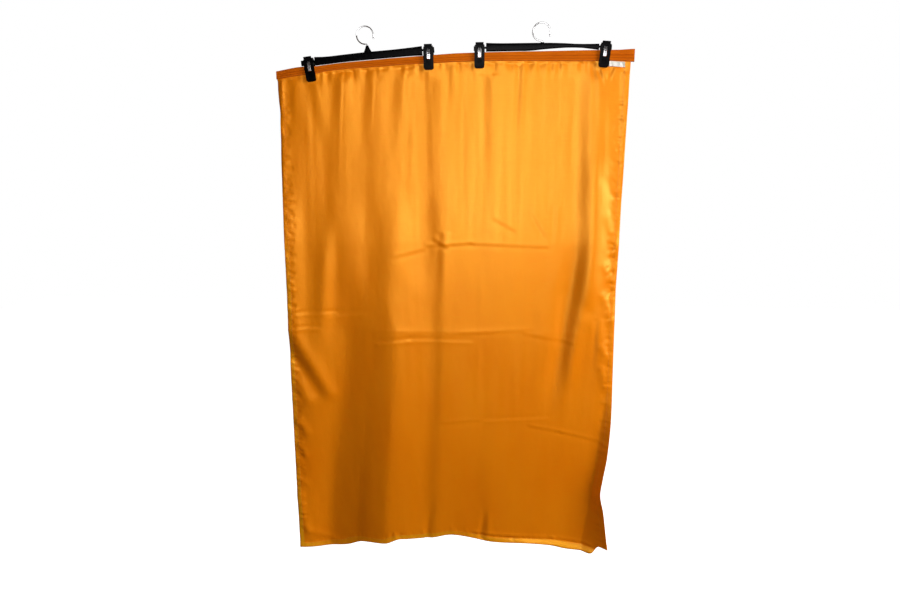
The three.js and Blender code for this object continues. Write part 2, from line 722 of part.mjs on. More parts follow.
// A jaw facing the front: its front view cut to its side view, with cheeks that ride on the neck.
function jawGeometry() {
  const corner = Array.from({ length: TURN_STEPS.corner + 1 }, (_, i) => {
    const turn = (i / TURN_STEPS.corner) * (Math.PI / 2);
    return {
      x: JAW.half - JAW.corner * (1 - Math.cos(turn)),
      z: JAW.bottom + JAW.corner * (1 - Math.sin(turn)),
    };
  });
  const right = [
    { x: JAW.topHalf, z: JAW.top },
    { x: JAW.topHalf, z: JAW.shoulder },
    { x: JAW.half, z: JAW.shoulder - JAW.shoulderFall },
    ...corner,
  ];
  const front = [
    ...right.map(({ x, z }) => new THREE.Vector2(-x, z)),
    ...right.map(({ x, z }) => new THREE.Vector2(x, z)).reverse(),
  ];
  const windowCorners = [
    [WINDOW.half, WINDOW.top],
    [WINDOW.half, WINDOW.bottom + WINDOW.corner],
    [WINDOW.half - WINDOW.corner, WINDOW.bottom],
    [WINDOW.corner - WINDOW.half, WINDOW.bottom],
    [-WINDOW.half, WINDOW.bottom + WINDOW.corner],
    [-WINDOW.half, WINDOW.top],
  ];
  const opening = windowCorners.map(([x, z]) => new THREE.Vector2(x, z));
  const frontView = extrudeGeometry(front, JAW.blank, [opening]).rotateX(Math.PI / 2);
  const outer = JAW_SIDE.map(({ z, outer: y }) => new THREE.Vector2(-y, z));
  const inner = JAW_SIDE.map(({ z, inner: y }) => new THREE.Vector2(-y, z)).reverse();
  const sideView = alongX(extrudeGeometry([...outer, ...inner], 4 * JAW.half), 2 * JAW.half);
  const plate = solidOf(frontView).intersect(solidOf(sideView));
  const nose = CHEEK.tall - CHEEK.chamfer;
  const cheekCorners = [
    [-CHEEK.root, -CHEEK.tall],
    [-CHEEK.gap - CHEEK.chamfer, -CHEEK.tall],
    [-CHEEK.gap, -nose],
    [-CHEEK.gap, nose],
    [-CHEEK.gap - CHEEK.chamfer, CHEEK.tall],
    [-CHEEK.root, CHEEK.tall],
  ];
  const cheekOutline = cheekCorners.map(([y, z]) => new THREE.Vector2(y, z));
  const cheekWide = CHEEK.outer - CHEEK.inner;
  const cheek = solidOf(alongX(extrudeGeometry(cheekOutline, cheekWide), cheekWide / 2));
  const shift = (CHEEK.inner + CHEEK.outer) / 2;
  const cheeks = cheek.translate(shift, 0, 0).add(cheek.translate(-shift, 0, 0));
  const neckBore = new THREE.CylinderGeometry(NECK.bore, NECK.bore, 4 * JAW.half, ROUND_SIDES.neck);
  neckBore.rotateZ(Math.PI / 2);
  return geometryFrom(plate.add(cheeks).subtract(solidOf(neckBore)));
}

// Turns an extrusion of a side view (y, z) so that it runs along x, centred on x = 0.
function alongX(geometry, half) {
  const turned = new THREE.Matrix4().makeBasis(
    new THREE.Vector3(0, 1, 0),
    new THREE.Vector3(0, 0, 1),
    new THREE.Vector3(1, 0, 0),
  );
  return geometry.applyMatrix4(turned).translate(-half, 0, 0);
}

// The spring: a steel strip bent over the neck, its two legs pressing in the jaws' windows.
function springGeometry() {
  const bend = Array.from({ length: TURN_STEPS.strip + 1 }, (_, i) => {
    const turn = (i / TURN_STEPS.strip) * Math.PI;
    return new THREE.Vector3(0, STRIP.bend * Math.cos(turn), STRIP.bend * Math.sin(turn));
  });
  const leg = LEG.map(({ z, y }) => new THREE.Vector3(0, y, z));
  const otherLeg = leg.map(({ y, z }) => new THREE.Vector3(0, -y, z));
  const strip = roundedOutline(STRIP.thick / 2, STRIP.half, OUTLINE.flat, ROUND_SIDES.strip);
  return sweepGeometry([...leg.reverse(), ...bend, ...otherLeg], new THREE.Vector3(1, 0, 0), strip);
}

// The scene graph

function piece(name, geometry, finish) {
  const mesh = new THREE.Mesh(geometry, new THREE.MeshStandardMaterial(COLOURS[finish]));
  mesh.name = name;
  return mesh;
}

function clipGroup({ name, bar, side, lean }) {
  const group = new THREE.Group();
  const pivot = onBar(bar, side * clipAlong, 0);
  group.position.set(pivot.x, 0, pivot.z);
  group.rotation.y = -lean;
  const backJaw = piece(`${name}_back_jaw`, jawGeometry(), "plastic");
  backJaw.rotation.z = Math.PI;
  group.add(
    piece(`${name}_front_jaw`, jawGeometry(), "plastic"),
    backJaw,
    piece(`${name}_spring`, springGeometry(), "steel"),
  );
  return group;
}

function barGroup(bar) {
  const group = new THREE.Group();
  const { x, z, tilt } = BARS[bar];
  group.position.set(x, 0, z);
  group.rotation.y = -tilt;
  group.add(
    piece(`${bar}_bar`, barGeometry(bar), "plastic"),
    piece(`${bar}_hook`, hookGeometry(bar), "steel"),
  );
  return group;
}

const hung = new THREE.Group();
hung.position.set(-onBar("left", -LOOP.bend, loopUp("left")).x, 0, -RAIL_Z);
hung.add(
  piece("panel", panelGeometry(), "satin"),
  piece("heading_band", bandGeometry(), "band"),
  piece("label", labelGeometry(), "label"),
  barGroup("left"),
  barGroup("right"),
  ...CLIPS.map(clipGroup),
);

const flag = new THREE.Group();
flag.add(hung);

export default flag;
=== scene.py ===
"""The looks of the worship flag: its satin, band, label, stitches and hangers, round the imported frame."""

import math
import random

import bpy
import numpy as np
from mathutils import Euler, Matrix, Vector


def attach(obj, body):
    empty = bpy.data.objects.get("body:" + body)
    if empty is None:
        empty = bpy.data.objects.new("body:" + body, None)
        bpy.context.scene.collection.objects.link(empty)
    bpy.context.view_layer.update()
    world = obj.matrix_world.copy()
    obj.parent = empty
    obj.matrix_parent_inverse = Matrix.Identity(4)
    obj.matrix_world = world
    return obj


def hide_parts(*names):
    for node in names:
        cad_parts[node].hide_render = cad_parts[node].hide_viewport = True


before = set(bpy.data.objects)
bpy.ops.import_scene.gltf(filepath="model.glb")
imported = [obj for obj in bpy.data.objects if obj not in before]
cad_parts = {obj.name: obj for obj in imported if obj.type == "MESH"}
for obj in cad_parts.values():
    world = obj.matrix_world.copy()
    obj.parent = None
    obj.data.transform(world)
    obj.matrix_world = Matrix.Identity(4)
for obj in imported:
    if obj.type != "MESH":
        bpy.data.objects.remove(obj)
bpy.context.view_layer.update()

# Sizes are in millimetres on the flag's own sheet: x from the middle of the heading, z from the mean
# height of its ends, and depth positive towards the back. ORIGIN is the left hook's saddle there.
ORIGIN = (-218.978, 0.0, 85.5)
MM = 0.001


def to_row(points):
    """Points of the flag's sheet in millimetres as points of the row frame in metres."""
    return (np.asarray(points, float) - ORIGIN) * MM


def table(columns, rows):
    names = columns.split()
    return [dict(zip(names, row)) for row in rows]


# The camera and the lights

CAMERA = {"place": (131, -1608, -301), "turn_left": 4.70, "down": 11.15, "lens": 24, "sensor": 36}
LIGHTS = table(
    "name place at size watts diffuse",
    [
        ("window", (4200, -2200, 300), (0, 0, -600), 2600, 130, True),
        ("side", (1900, -700, 0), (0, 0, -600), 1000, 14, True),
        ("high", (160, -1600, 0), (0, 0, -600), 800, 11, True),
        ("gloss", (130, -1750, -190), (0, 0, -400), 1350, 16.5, False),
        ("back", (-700, 1500, 500), (0, 0, -600), 1400, 14, True),
    ],
)
SKY = {"seen": 1.0, "light": 0.055, "tint": (1, 0.6, 0.3)}
FLOOR = {"below": -1850, "half": 6000, "colour": (0.93, 0.93, 0.93), "stain": (0.95, 0.95, 0.95)}


def aim(thing, place, target):
    thing.location = Vector(to_row(place))
    away = thing.location - Vector(to_row(target))
    thing.rotation_euler = away.to_track_quat("Z", "Y").to_euler()


def make_camera():
    data = bpy.data.cameras.new("view")
    data.lens = CAMERA["lens"]
    data.sensor_width = CAMERA["sensor"]
    camera = bpy.data.objects.new("view", data)
    camera.location = Vector(to_row(CAMERA["place"]))
    turn = math.radians(CAMERA["turn_left"])
    camera.rotation_euler = Euler((math.radians(90 - CAMERA["down"]), 0, turn))
    bpy.context.scene.collection.objects.link(camera)
    bpy.context.scene.camera = camera


def make_lights():
    for row in LIGHTS:
        data = bpy.data.lights.new(row["name"], "AREA")
        data.size = row["size"] * MM
        data.energy = row["watts"]
        lamp = bpy.data.objects.new(row["name"], data)
        aim(lamp, row["place"], row["at"])
        lamp.visible_diffuse = row["diffuse"]
        bpy.context.scene.collection.objects.link(lamp)


def make_sky():
    """A white studio: plain white where the camera sees it, and a dim even light on the object."""
    world = bpy.data.worlds.new("studio")
    bpy.context.scene.world = world
    world.use_nodes = True
    nodes, links = world.node_tree.nodes, world.node_tree.links
    nodes.clear()
    out = nodes.new("ShaderNodeOutputWorld")

    def background(strength, colour):
        node = nodes.new("ShaderNodeBackground")
        node.inputs["Strength"].default_value = strength
        node.inputs["Color"].default_value = (*colour, 1)
        return node

    seen = background(SKY["seen"], (1, 1, 1))
    dim = background(SKY["light"], SKY["tint"])
    path = nodes.new("ShaderNodeLightPath")
    mix = nodes.new("ShaderNodeMixShader")
    links.new(path.outputs["Is Camera Ray"], mix.inputs[0])
    links.new(dim.outputs[0], mix.inputs[1])
    links.new(seen.outputs[0], mix.inputs[2])
    links.new(mix.outputs[0], out.inputs["Surface"])


make_camera()
make_lights()
make_sky()
bpy.context.scene.view_settings.view_transform = "Standard"

# The cloth's tables. The outline and the lean are the solids' own. The folds are the same ones, with
# their depths and widths eased by a few millimetres towards the light in the photograph.

# HEM is how wide the hems are turned, and the foot hem's flare begins HEM_OVER above it. The cloth is
# tucked TUCK into the band, and lets go of its flat top over GATHER_FALL below the seam.
HEM, HEM_OVER = 15.0, 2.0
TUCK, GATHER_FALL = 8.0, 45.0

# The folds' head, waist and foot values hold at these heights. The foot swings back from SWING_FROM
# down, and the powers bend how the swing, the flank's turn and the folds' upper halves grow.
HEAD_Z, WAIST_Z, FOOT_Z = -30.0, -700.0, -1360.0
SWING_FROM, SWING_POWER = -950.0, 1.3
FLANK_POWER, HEAD_POWER = 1.08, 0.36

HEADING = table(
    "x z tall y",
    [
        (-457, -18, 20, 3), (-395, -8.8, 21.5, 0), (-350, -7, 18.5, 0), (-322, -4, 16.5, 0.8),
        (-272, 1.1, 16.5, 1.5), (-212, 5.3, 17.8, 2), (-152, 9.4, 18.4, 1.2), (-80, 13.2, 19.4, 0),
        (10, 17.9, 21, -1.5), (100, 19.7, 21.4, 0), (230, 20.3, 24, 2), (350, 20.3, 26.6, 0),
        (400, 20.2, 26, -1), (457, 19.5, 29, -3),
    ],
)
SIDES = table(
    "z left right",
    [
        (20, -455, 449), (-40, -456, 449), (-90, -455, 449), (-130, -452, 448.5), (-250, -455, 447),
        (-400, -452, 444), (-580, -452, 442), (-660, -453, 442.5), (-740, -455, 443.5), (-930, -456, 445.5),
        (-1050, -457, 438.5), (-1120, -457, 428.5), (-1165, -457, 424), (-1214, -457, 434),
        (-1263, -456, 441), (-1350, -455, 452), (-1390, -454, 452),
    ],
)
FOOT = table(
    "x z back flare",
    [
        (-460, -1384, -4, 3), (-410, -1384, -2, 3), (-353, -1378.5, 3, 2), (-322, -1371.5, 4, 1),
        (-275, -1353.5, 5, 1), (-196, -1346.5, 5, 1), (-158, -1334, 6, 0), (-130, -1333, 6, 0),
        (-60, -1329, 8, 0), (10, -1317.5, 9, 0), (130, -1333.5, 7, 2), (250, -1333.7, 6, 7),
        (310, -1337, 6, 8), (350, -1344.5, 5, 9), (400, -1348, 2, 8), (428, -1349.5, 0, 6),
        (452, -1326, -2, 4),
    ],
)
LEAN = table(
    "z forward",
    [
        (-30, 0), (-90, 0), (-200, 2), (-330, 9), (-455, 17.5), (-480, 18), (-560, 18.2), (-720, 16.5),
        (-900, 13), (-1100, 9), (-1250, 8), (-1390, 10),
    ],
)
FOLDS = table(
    "head waist foot head_deep waist_deep foot_deep head_wide waist_wide foot_wide soft",
    [
        (-412, -436, -440, 3, 4, 1, 24, 24, 20, 6), (-298, -405, -420, 3.2, 3, 0, 16, 60, 40, 6),
        (-335, -345, -402, -1.5, -6, -9, 30, 50, 60, 10),
        (-262, -252, -310, -3.5, 18, 31, 50, 68, 110, 8),
        (-212, -183, -228, 1.5, 17, 22, 36, 66, 82, 6),
        (-100, -105, -105, 0, -10, -8, 90, 100, 100, 15), (-44, -32, -56, 4, 5.5, 6, 28, 24, 22, 6),
        (95, 103, 100, 2, 0, 3, 24, 24, 20, 8), (340, 362, 366, 6.3, 0.5, 0, 32, 30, 26, 5),
    ],
)
FLANK = table(
    "z crease forward",
    [
        (-840, 430, 0), (-900, 426, 5), (-980, 419, 14), (-1080, 411, 23), (-1200, 398, 30),
        (-1290, 386, 33), (-1370, 372, 34),
    ],
)

# Strokes: soft troughs (deep above 0) and ridges from one end to the other. `step` 1 makes a stroke
# a crease that drops on one side instead. SLANTS are the hem's pulls at the lower left and the right,
# and STREAKS the long soft sides of folds.
STROKES = "from_x from_z to_x to_z wide deep step"
SLANTS = table(
    STROKES,
    [
        (-475, -720, -385, -885, 24, 4.5, 0), (-448, -705, -345, -890, 22, -4.5, 0),
        (452, -560, 380, -640, 24, 4, 0),
    ],
)
STREAKS = table(
    STROKES,
    [
        (-235, -300, -235, -640, 70, -2.6, 1), (-408, -80, -404, -520, 54, -2.0, 1),
        (-108, -300, -114, -610, 50, -3, 1), (-418, -260, -414, -820, 36, -3.8, 1),
        (362, -400, 290, -960, 28, 5.5, 1), (402, -90, 410, -800, 41, -6.9, 1),
        (418, -660, 420, -840, 16, -1.4, 1), (398, -5, 402, -240, 34, -1.8, 1),
        (-316, -380, -345, -780, 24, -2.0, 1),
    ],
)
STORAGE_CREASES = table(
    STROKES,
    [
        (-60, -470, 60, -462, 6.5, 0.8, 1), (55, -463, 255, -471, 6.5, 0.5, 1),
        (-200, -737, -110, -726, 7, -0.7, 1), (-112, -726, 56, -727, 7, -0.5, 1),
        (30, -707, 220, -695, 7, 0.4, 1), (-18, -968, 90, -956, 6.5, 0.45, 1),
        (88, -956, 270, -944, 6.5, -0.45, 1), (224, -971, 310, -987, 6.5, 0.6, 1),
        (308, -987, 424, -1014, 6.5, 0.6, 1), (-462, -664, -320, -656, 6.5, -0.9, 1),
        (-455, -704, -366, -700, 6.5, -0.8, 1), (125, -251, 250, -263, 7, 0.35, 1),
        (-150, -500, -60, -478, 8, 0.5, 1), (-340, -668, -240, -655, 8, -0.5, 1),
        (200, -705, 330, -730, 7, 0.4, 1), (120, -400, 165, -425, 9, 0.6, 1),
        (215, -385, 250, -440, 10, 0.7, 1), (-40, -455, -10, -472, 7, 0.9, 1),
        (70, -1309, 180, -1316, 6, 1.2, 1), (180, -1316, 300, -1319, 6, 1.3, 1),
        (300, -1319, 404, -1331, 6, 1.2, 1),
    ],
)

# The clips' places, for the flat patches that they hold: each one's pivot is CLIP_ALONG from the
# middle of its bar, and its jaws reach JAW_BOTTOM below that at their lean. The cloth is flat within
# GRIP_HOLD of a clip and hangs free GRIP_SOFT further off.
BARS = {
    "left": {"x": -212.0, "z": 16.0, "tilt": 0.08},
    "right": {"x": 230.0, "z": 29.2, "tilt": -0.0075},
}
CLIP_ALONG = 156.2
CLIPS = table(
    "name bar side lean",
    [
        ("clip_1", "left", -1, 0.125), ("clip_2", "left", 1, 0.025), ("clip_3", "right", -1, 0.0),
        ("clip_4", "right", 1, -0.079),
    ],
)
JAW_BOTTOM = -49.5
GRIP_HOLD, GRIP_SOFT = 14.0, 30.0


def through(rows, source, target):
    """A smooth curve through a table's rows: column target as a function of column source."""
    rows = sorted(rows, key=lambda row: row[source])
    at = np.array([row[source] for row in rows], float)
    value = np.array([row[target] for row in rows], float)
    before = np.maximum(np.arange(len(at)) - 1, 0)
    after = np.minimum(np.arange(len(at)) + 1, len(at) - 1)
    slope = (value[after] - value[before]) / (at[after] - at[before])

    def curve(where):
        held = np.clip(where, at[0], at[-1])
        i = np.clip(np.searchsorted(at, held, side="right") - 1, 0, len(at) - 2)
        span = at[i + 1] - at[i]
        t = (held - at[i]) / span
        rise = value[i + 1] - value[i]
        bow = t * (1 - t) * ((1 - t) * (slope[i] * span - rise) - t * (slope[i + 1] * span - rise))
        return value[i] + t * rise + bow

    return curve


# A crease's height is `deep` times STEP_RISE at its two shoulders. STROKE_REACH is how many of its
# widths a stroke is felt over, and LEAST the least share of its length over which it grows.
STEP_RISE = 2.3
STROKE_REACH = 3
LEAST = 0.02


def lerp(a, b, t):
    return a + (b - a) * t


def ramp(value, low, high):
    t = np.clip((value - low) / (high - low), 0, 1)
    return t * t * (3 - 2 * t)


def soft_step(aside, wide, soft):
    """Rises from 0 to 1 over a width, evenly, with soft ends."""
    rise = np.logaddexp(0, (aside + wide / 2) / soft) - np.logaddexp(0, (aside - wide / 2) / soft)
    return rise * soft / wide


heading_z = through(HEADING, "x", "z")
heading_y = through(HEADING, "x", "y")
band_tall = through(HEADING, "x", "tall")
left_x = through(SIDES, "z", "left")
right_x = through(SIDES, "z", "right")
foot_z = through(FOOT, "x", "z")
foot_back = through(FOOT, "x", "back")
foot_flare = through(FOOT, "x", "flare")
crease_x = through(FLANK, "z", "crease")
flank_forward = through(FLANK, "z", "forward")
lean_forward = through(LEAN, "z", "forward")


def seam_z(x):
    return heading_z(x) - band_tall(x)


for clip in CLIPS:
    bar, along = BARS[clip["bar"]], clip["side"] * CLIP_ALONG
    clip["x"] = bar["x"] + along * math.cos(bar["tilt"])
    clip["z"] = bar["z"] + along * math.sin(bar["tilt"])
    clip["grip_x"] = clip["x"] - JAW_BOTTOM * math.sin(clip["lean"])
    clip["grip_z"] = clip["z"] + JAW_BOTTOM * math.cos(clip["lean"])


def band_y(x):
    bow = 1.0
    for clip in CLIPS:
        bow = bow * ramp(np.abs(x - clip["grip_x"]), GRIP_HOLD, GRIP_HOLD + 2 * GRIP_SOFT)
    return heading_y(x) * bow


def free_of_clips(x, z, soft=GRIP_SOFT):
    """0 where a clip holds the cloth flat, 1 where it hangs free."""
    free = 1.0
    for clip in CLIPS:
        aside = np.maximum(np.abs(x - clip["grip_x"]) - GRIP_HOLD, 0)
        below = np.maximum(clip["grip_z"] - z, 0)
        free = free * ramp(np.hypot(aside, below), 0, soft)
    return free


# The cloth's depth

def along_fold(z, head, waist, foot):
    upper = lerp(waist, head, ramp(z, WAIST_Z, HEAD_Z) ** HEAD_POWER)
    lower = lerp(foot, waist, ramp(z, FOOT_Z, WAIST_Z))
    return np.where(z > WAIST_Z, upper, lower)


def fold_depth(x, z):
    left, right = left_x(z), right_x(z)
    across = (x - left) / (right - left)
    depth = 0.0
    for fold in FOLDS:
        place = along_fold(z, fold["head"], fold["waist"], fold["foot"])
        deep = along_fold(z, fold["head_deep"], fold["waist_deep"], fold["foot_deep"])
        wide = along_fold(z, fold["head_wide"], fold["waist_wide"], fold["foot_wide"])
        depth = depth + deep * (across - soft_step(x - place, wide, fold["soft"]))
    return depth


def stroke_depth(x, z, strokes, swell=0, fade=0):
    """The depth of a table's troughs, ridges and creases, each worked out near itself only.

    Each grows over the share `swell` of its length and dies away over its last share `fade`.
    """
    depth = np.zeros(np.broadcast(x, z).shape)
    for row in strokes:
        run_x, run_z = row["to_x"] - row["from_x"], row["to_z"] - row["from_z"]
        length = math.hypot(run_x, run_z)
        reach = STROKE_REACH * row["wide"]
        near = x > min(row["from_x"], row["to_x"]) - reach
        near &= x < max(row["from_x"], row["to_x"]) + reach
        near &= z > min(row["from_z"], row["to_z"]) - reach
        near &= z < max(row["from_z"], row["to_z"]) + reach
        dx, dz = x[near] - row["from_x"], z[near] - row["from_z"]
        along = (dx * run_x + dz * run_z) / length**2
        aside = (dx * run_z - dz * run_x) / length / row["wide"]
        end = np.maximum(np.maximum(-along, along - 1), 0) * length / row["wide"]
        shape = np.exp(-aside * aside - end * end)
        if fade:
            shape = shape * ramp(along, 0, swell + LEAST) * (1 - ramp(along, 1 - fade, 1))
        depth[near] += row["deep"] * shape * lerp(1, STEP_RISE * aside, row["step"])
    return depth


def foot_depth(x, z):
    """How far the foot swings back, and its hem's flare below the line of stitches."""
    fall = ramp(-z, -SWING_FROM, -FOOT_Z) ** SWING_POWER
    up = z - foot_z(x)
    hem = np.clip((HEM + HEM_OVER - up) / HEM, 0, 1)
    return foot_back(x) * fall - foot_flare(x) * hem


def flank_depth(x, z):
    reach = (x - crease_x(z)) / (right_x(z) - crease_x(z))
    return -flank_forward(z) * np.maximum(reach, 0) ** FLANK_POWER


# Small folds that are too fine for the solids. Their places are uneven, from a seeded random source.

chance = random.Random(41)

# Gathers hang from the seam: their spacing over a stretch of the heading, their depth and reach.
# GATHER says how far each one strays from that, in shares, and how fast it widens below the seam.
GATHER = {
    "wide": (0.28, 0.5), "deep": (0.35, 1.3), "long": (0.35, 1.9), "lean": 0.12, "step": (0.6, 1.5),
    "widens": 70,
}
GATHERS = table(
    "from_x to_x pitch deep long",
    [
        (-445, -385, 15, 1.2, 16), (-358, -205, 13, 2.8, 15), (-205, -70, 14, 2.6, 15),
        (-30, 10, 14, 1.8, 16), (20, 330, 13, 2.7, 14), (330, 372, 12, 2.4, 16),
        (400, 440, 12, 2.0, 14),
    ],
)


def make_gathers():
    rows = []
    for part in GATHERS:
        x = part["from_x"]
        while x < part["to_x"]:
            wide = part["pitch"] * chance.uniform(*GATHER["wide"])
            rows.append({
                "x": x, "wide": wide, "deep": part["deep"] * chance.uniform(*GATHER["deep"]),
                "long": part["long"] * chance.uniform(*GATHER["long"]),
                "lean": chance.uniform(-GATHER["lean"], GATHER["lean"]),
            })
            x += part["pitch"] * chance.uniform(*GATHER["step"])
    return rows


# Long soft ripples down the upper cloth.
RIPPLES = {
    "count": 60, "across": (-430, 425), "tops": (-25, -25, -60, -260, -480), "deep": (0.12, 0.4),
    "wide": (5, 14), "long": (180, 560), "lean": 0.03,
}


def make_ripples():
    rows = []
    for _ in range(RIPPLES["count"]):
        x, top = chance.uniform(*RIPPLES["across"]), chance.choice(RIPPLES["tops"])
        long = chance.uniform(*RIPPLES["long"])
        lean = long * chance.uniform(-RIPPLES["lean"], RIPPLES["lean"])
        deep = chance.choice([-1, 1]) * chance.uniform(*RIPPLES["deep"])
        rows.append((x, top, x + lean, top - long, chance.uniform(*RIPPLES["wide"]), deep, 0))
    return table(STROKES, rows)


# Puckers cross the lines of hem stitches: which edge, the stretch of it, their spacing and depth.
PUCKERS = table(
    "edge from_at to_at pitch deep",
    [
        ("left", -1330, -60, 12, 1.3), ("left", -640, -160, 17, 1.4), ("left", -1280, -820, 19, 1.6),
        ("right", -1320, -40, 11, 0.9), ("right", -660, -60, 13, 1.4), ("foot", -440, 440, 13, 0.6),
        ("foot", -190, -40, 14, 1.1),
    ],
)
PUCKER = {
    "inset": 13, "stray": (-4, 7), "long": (7, 20), "wide": (3.0, 4.8), "turn": 0.55, "deep": (0.4, 1.2),
    "ways": (-1, 1, 1), "step": (0.5, 1.6),
}


def make_puckers():
    rows = []
    for part in PUCKERS:
        at = part["from_at"]
        while at < part["to_at"]:
            inset = PUCKER["inset"] + chance.uniform(*PUCKER["stray"])
            if part["edge"] == "foot":
                x, z, turn = at, float(foot_z(at)) + inset, math.pi / 2
            elif part["edge"] == "left":
                x, z, turn = float(left_x(at)) + inset, at, 0
            else:
                x, z, turn = float(right_x(at)) - inset, at, math.pi
            turn += chance.uniform(-PUCKER["turn"], PUCKER["turn"])
            half = chance.uniform(*PUCKER["long"]) / 2
            dx, dz = half * math.cos(turn), half * math.sin(turn)
            deep = part["deep"] * chance.uniform(*PUCKER["deep"]) * chance.choice(PUCKER["ways"])
            rows.append((x - dx, z - dz, x + dx, z + dz, chance.uniform(*PUCKER["wide"]), deep, 0))
            at += part["pitch"] * chance.uniform(*PUCKER["step"])
    return table(STROKES, rows)


# Placed wrinkles: folds that hang from the gathers, the V that the fourth clip pulls, small tucks
# under the band, and folds that rise from the foot.
WRINKLES = table(
    STROKES,
    [
        (-368, -28, -322, -280, 20, 1.2, 1), (-352, -22, -322, -190, 5, -0.25, 1),
        (-418, -40, -412, -180, 14, 0.8, 1), (-446, -26, -448, -130, 6, 1.5, 1),
        (-290, -22, -318, -240, 18, 0.8, 1), (-279, -22, -294, -260, 5, -0.4, 1),
        (-208, -16, -230, -260, 18, 0.8, 1), (-195, -18, -208, -200, 5, -0.35, 1),
        (-134, -14, -148, -260, 22, 1.0, 1), (-116, -14, -126, -160, 5, -0.25, 1),
        (-60, -10, -64, -150, 9, 0.5, 1), (97, -30, 98, -460, 20, 0.9, 1),
        (342, -50, 350, -420, 22, 0.4, 1), (0, -12, 4, -130, 12, 0.8, 1),
        (60, -8, 64, -110, 9, 0.4, 1), (179, -8, 174, -260, 9, 1.0, 1),
        (235, -8, 238, -110, 8, 0.4, 1), (276, -360, 272, -520, 9, 0.7, 1),
        (366, -14, 380, -240, 8, 0.7, 1), (430, -30, 438, -300, 10, 1.1, 1),
        (398, -660, 392, -820, 9, 1.1, 1), (-20, -430, -30, -700, 14, 1.0, 1),
        (372, -18, 391, -70, 6, 2.6, 1), (362, -14, 378, -66, 5, -1.6, 0),
        (404, -18, 391, -70, 6, 2.0, 0), (416, -20, 402, -62, 5, -1.6, 0),
        (90, -1328, 104, -1205, 8, 2.4, 0), (112, -1328, 116, -1220, 8, -1.3, 0),
        (-70, -1334, -46, -1170, 11, 2.0, 0), (-212, -22, -190, -44, 6, 0.9, 0),
        (-190, -44, -172, -26, 6, 0.8, 0), (-132, -14, -116, -36, 6, 0.8, 0),
        (-116, -36, -96, -20, 6, 0.7, 0), (-300, -22, -284, -42, 6, 0.8, 0),
        (-284, -42, -264, -28, 6, 0.7, 0),
    ],
)

# Broad soft swells of the lower left and of the right edge, pulled by the hems.
SWELLS = table(
    STROKES,
    [
        (-424, -868, -408, -912, 18, -2.6, 0), (-436, -978, -418, -1012, 14, -2.4, 0),
        (-440, -1060, -426, -1084, 12, -2.0, 0), (-446, -1150, -432, -1174, 12, -1.8, 0),
        (-452, -1215, -428, -1330, 13, -2.2, 0), (-428, -1330, -340, -1364, 11, -1.5, 0),
        (-452, -640, -425, -690, 16, -1.6, 0), (-452, -780, -420, -820, 16, 2.0, 0),
        (414, -400, 436, -470, 14, -2.4, 0), (408, -520, 430, -560, 12, -2.2, 0),
        (408, -600, 432, -660, 12, -3.0, 0), (412, -740, 426, -770, 10, -2.4, 0),
        (412, -800, 424, -850, 9, -1.6, 0), (400, -300, 440, -350, 14, 1.3, 0),
        (300, -600, 316, -860, 20, 1.2, 0), (366, -260, 358, -660, 24, -1.2, 0),
    ],
)

# Where the outermost strip of the sheet curls back, so that it faces aside.
CURLS = table(
    "z left right",
    [
        (-20, 0, 0), (-50, 4, 0.5), (-110, 5, 0.5), (-150, 1.5, 1), (-210, 5, 1.5), (-290, 4, 1),
        (-360, 1, 2), (-700, 1, 2.5), (-860, 1.5, 1), (-1000, 1, 0), (-1200, 1.5, 0), (-1360, 1, 0),
    ],
)
CURL_WIDE, CURL_POWER = 7.0, 1.6
curl_left = through(CURLS, "z", "left")
curl_right = through(CURLS, "z", "right")

GATHER_ROWS = make_gathers()
RIPPLE_ROWS = make_ripples()
FINE_STROKES = STORAGE_CREASES + make_puckers() + SWELLS

# The shares of its length over which a stroke grows and dies away, and how near the clips and the
# seam the fine folds begin.
STREAK_ENDS, WRINKLE_ENDS, RIPPLE_ENDS = (0.35, 0.35), (0, 0.8), (0.3, 0.5)
LOOSE = {"clip": 9, "seam": 5}


def gather_depth(x, z):
    below = np.maximum(seam_z(x) - z, 0)
    depth = 0.0
    for row in GATHER_ROWS:
        aside = (x - row["x"] - row["lean"] * below) / (row["wide"] * (1 + below / GATHER["widens"]))
        depth = depth + row["deep"] * np.exp(-aside * aside - (below / row["long"]) ** 2)
    return depth


def curl_depth(x, z):
    at_left = np.clip(1 - (x - left_x(z)) / CURL_WIDE, 0, 1)
    at_right = np.clip(1 - (right_x(z) - x) / CURL_WIDE, 0, 1)
    return curl_left(z) * at_left**CURL_POWER + curl_right(z) * at_right**CURL_POWER


def panel_depth(x, z):
    seam = seam_z(x)
    below = seam - z
    free = free_of_clips(x, z) * ramp(below, 0, GATHER_FALL)
    slants = stroke_depth(x, z, SLANTS) + stroke_depth(x, z, STREAKS, *STREAK_ENDS)
    hung = fold_depth(x, z) + slants + foot_depth(x, z) + flank_depth(x, z) - lean_forward(z)
    main = lerp(band_y(x) * ramp(-below, -GATHER_FALL, 0), hung, free)
    loose = free_of_clips(x, z, LOOSE["clip"]) * ramp(below, 0, LOOSE["seam"])
    fine = stroke_depth(x, z, FINE_STROKES) + curl_depth(x, z)
    fine += stroke_depth(x, z, WRINKLES, *WRINKLE_ENDS)
    fine += stroke_depth(x, z, RIPPLE_ROWS, *RIPPLE_ENDS)
    return main + loose * (fine + gather_depth(x, z))


# Meshes

def new_piece(name, points, faces, material, smooth=True):
    """A mesh object from points on the flag's sheet, which rides on the part's one body."""
    mesh = bpy.data.meshes.new(name)
    mesh.from_pydata(to_row(points).tolist(), [], [tuple(int(i) for i in face) for face in faces])
    mesh.polygons.foreach_set("use_smooth", [smooth] * len(mesh.polygons))
    mesh.materials.append(material)
    mesh.update()
    thing = bpy.data.objects.new(name, mesh)
    bpy.context.scene.collection.objects.link(thing)
    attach(thing, "root")
    return thing


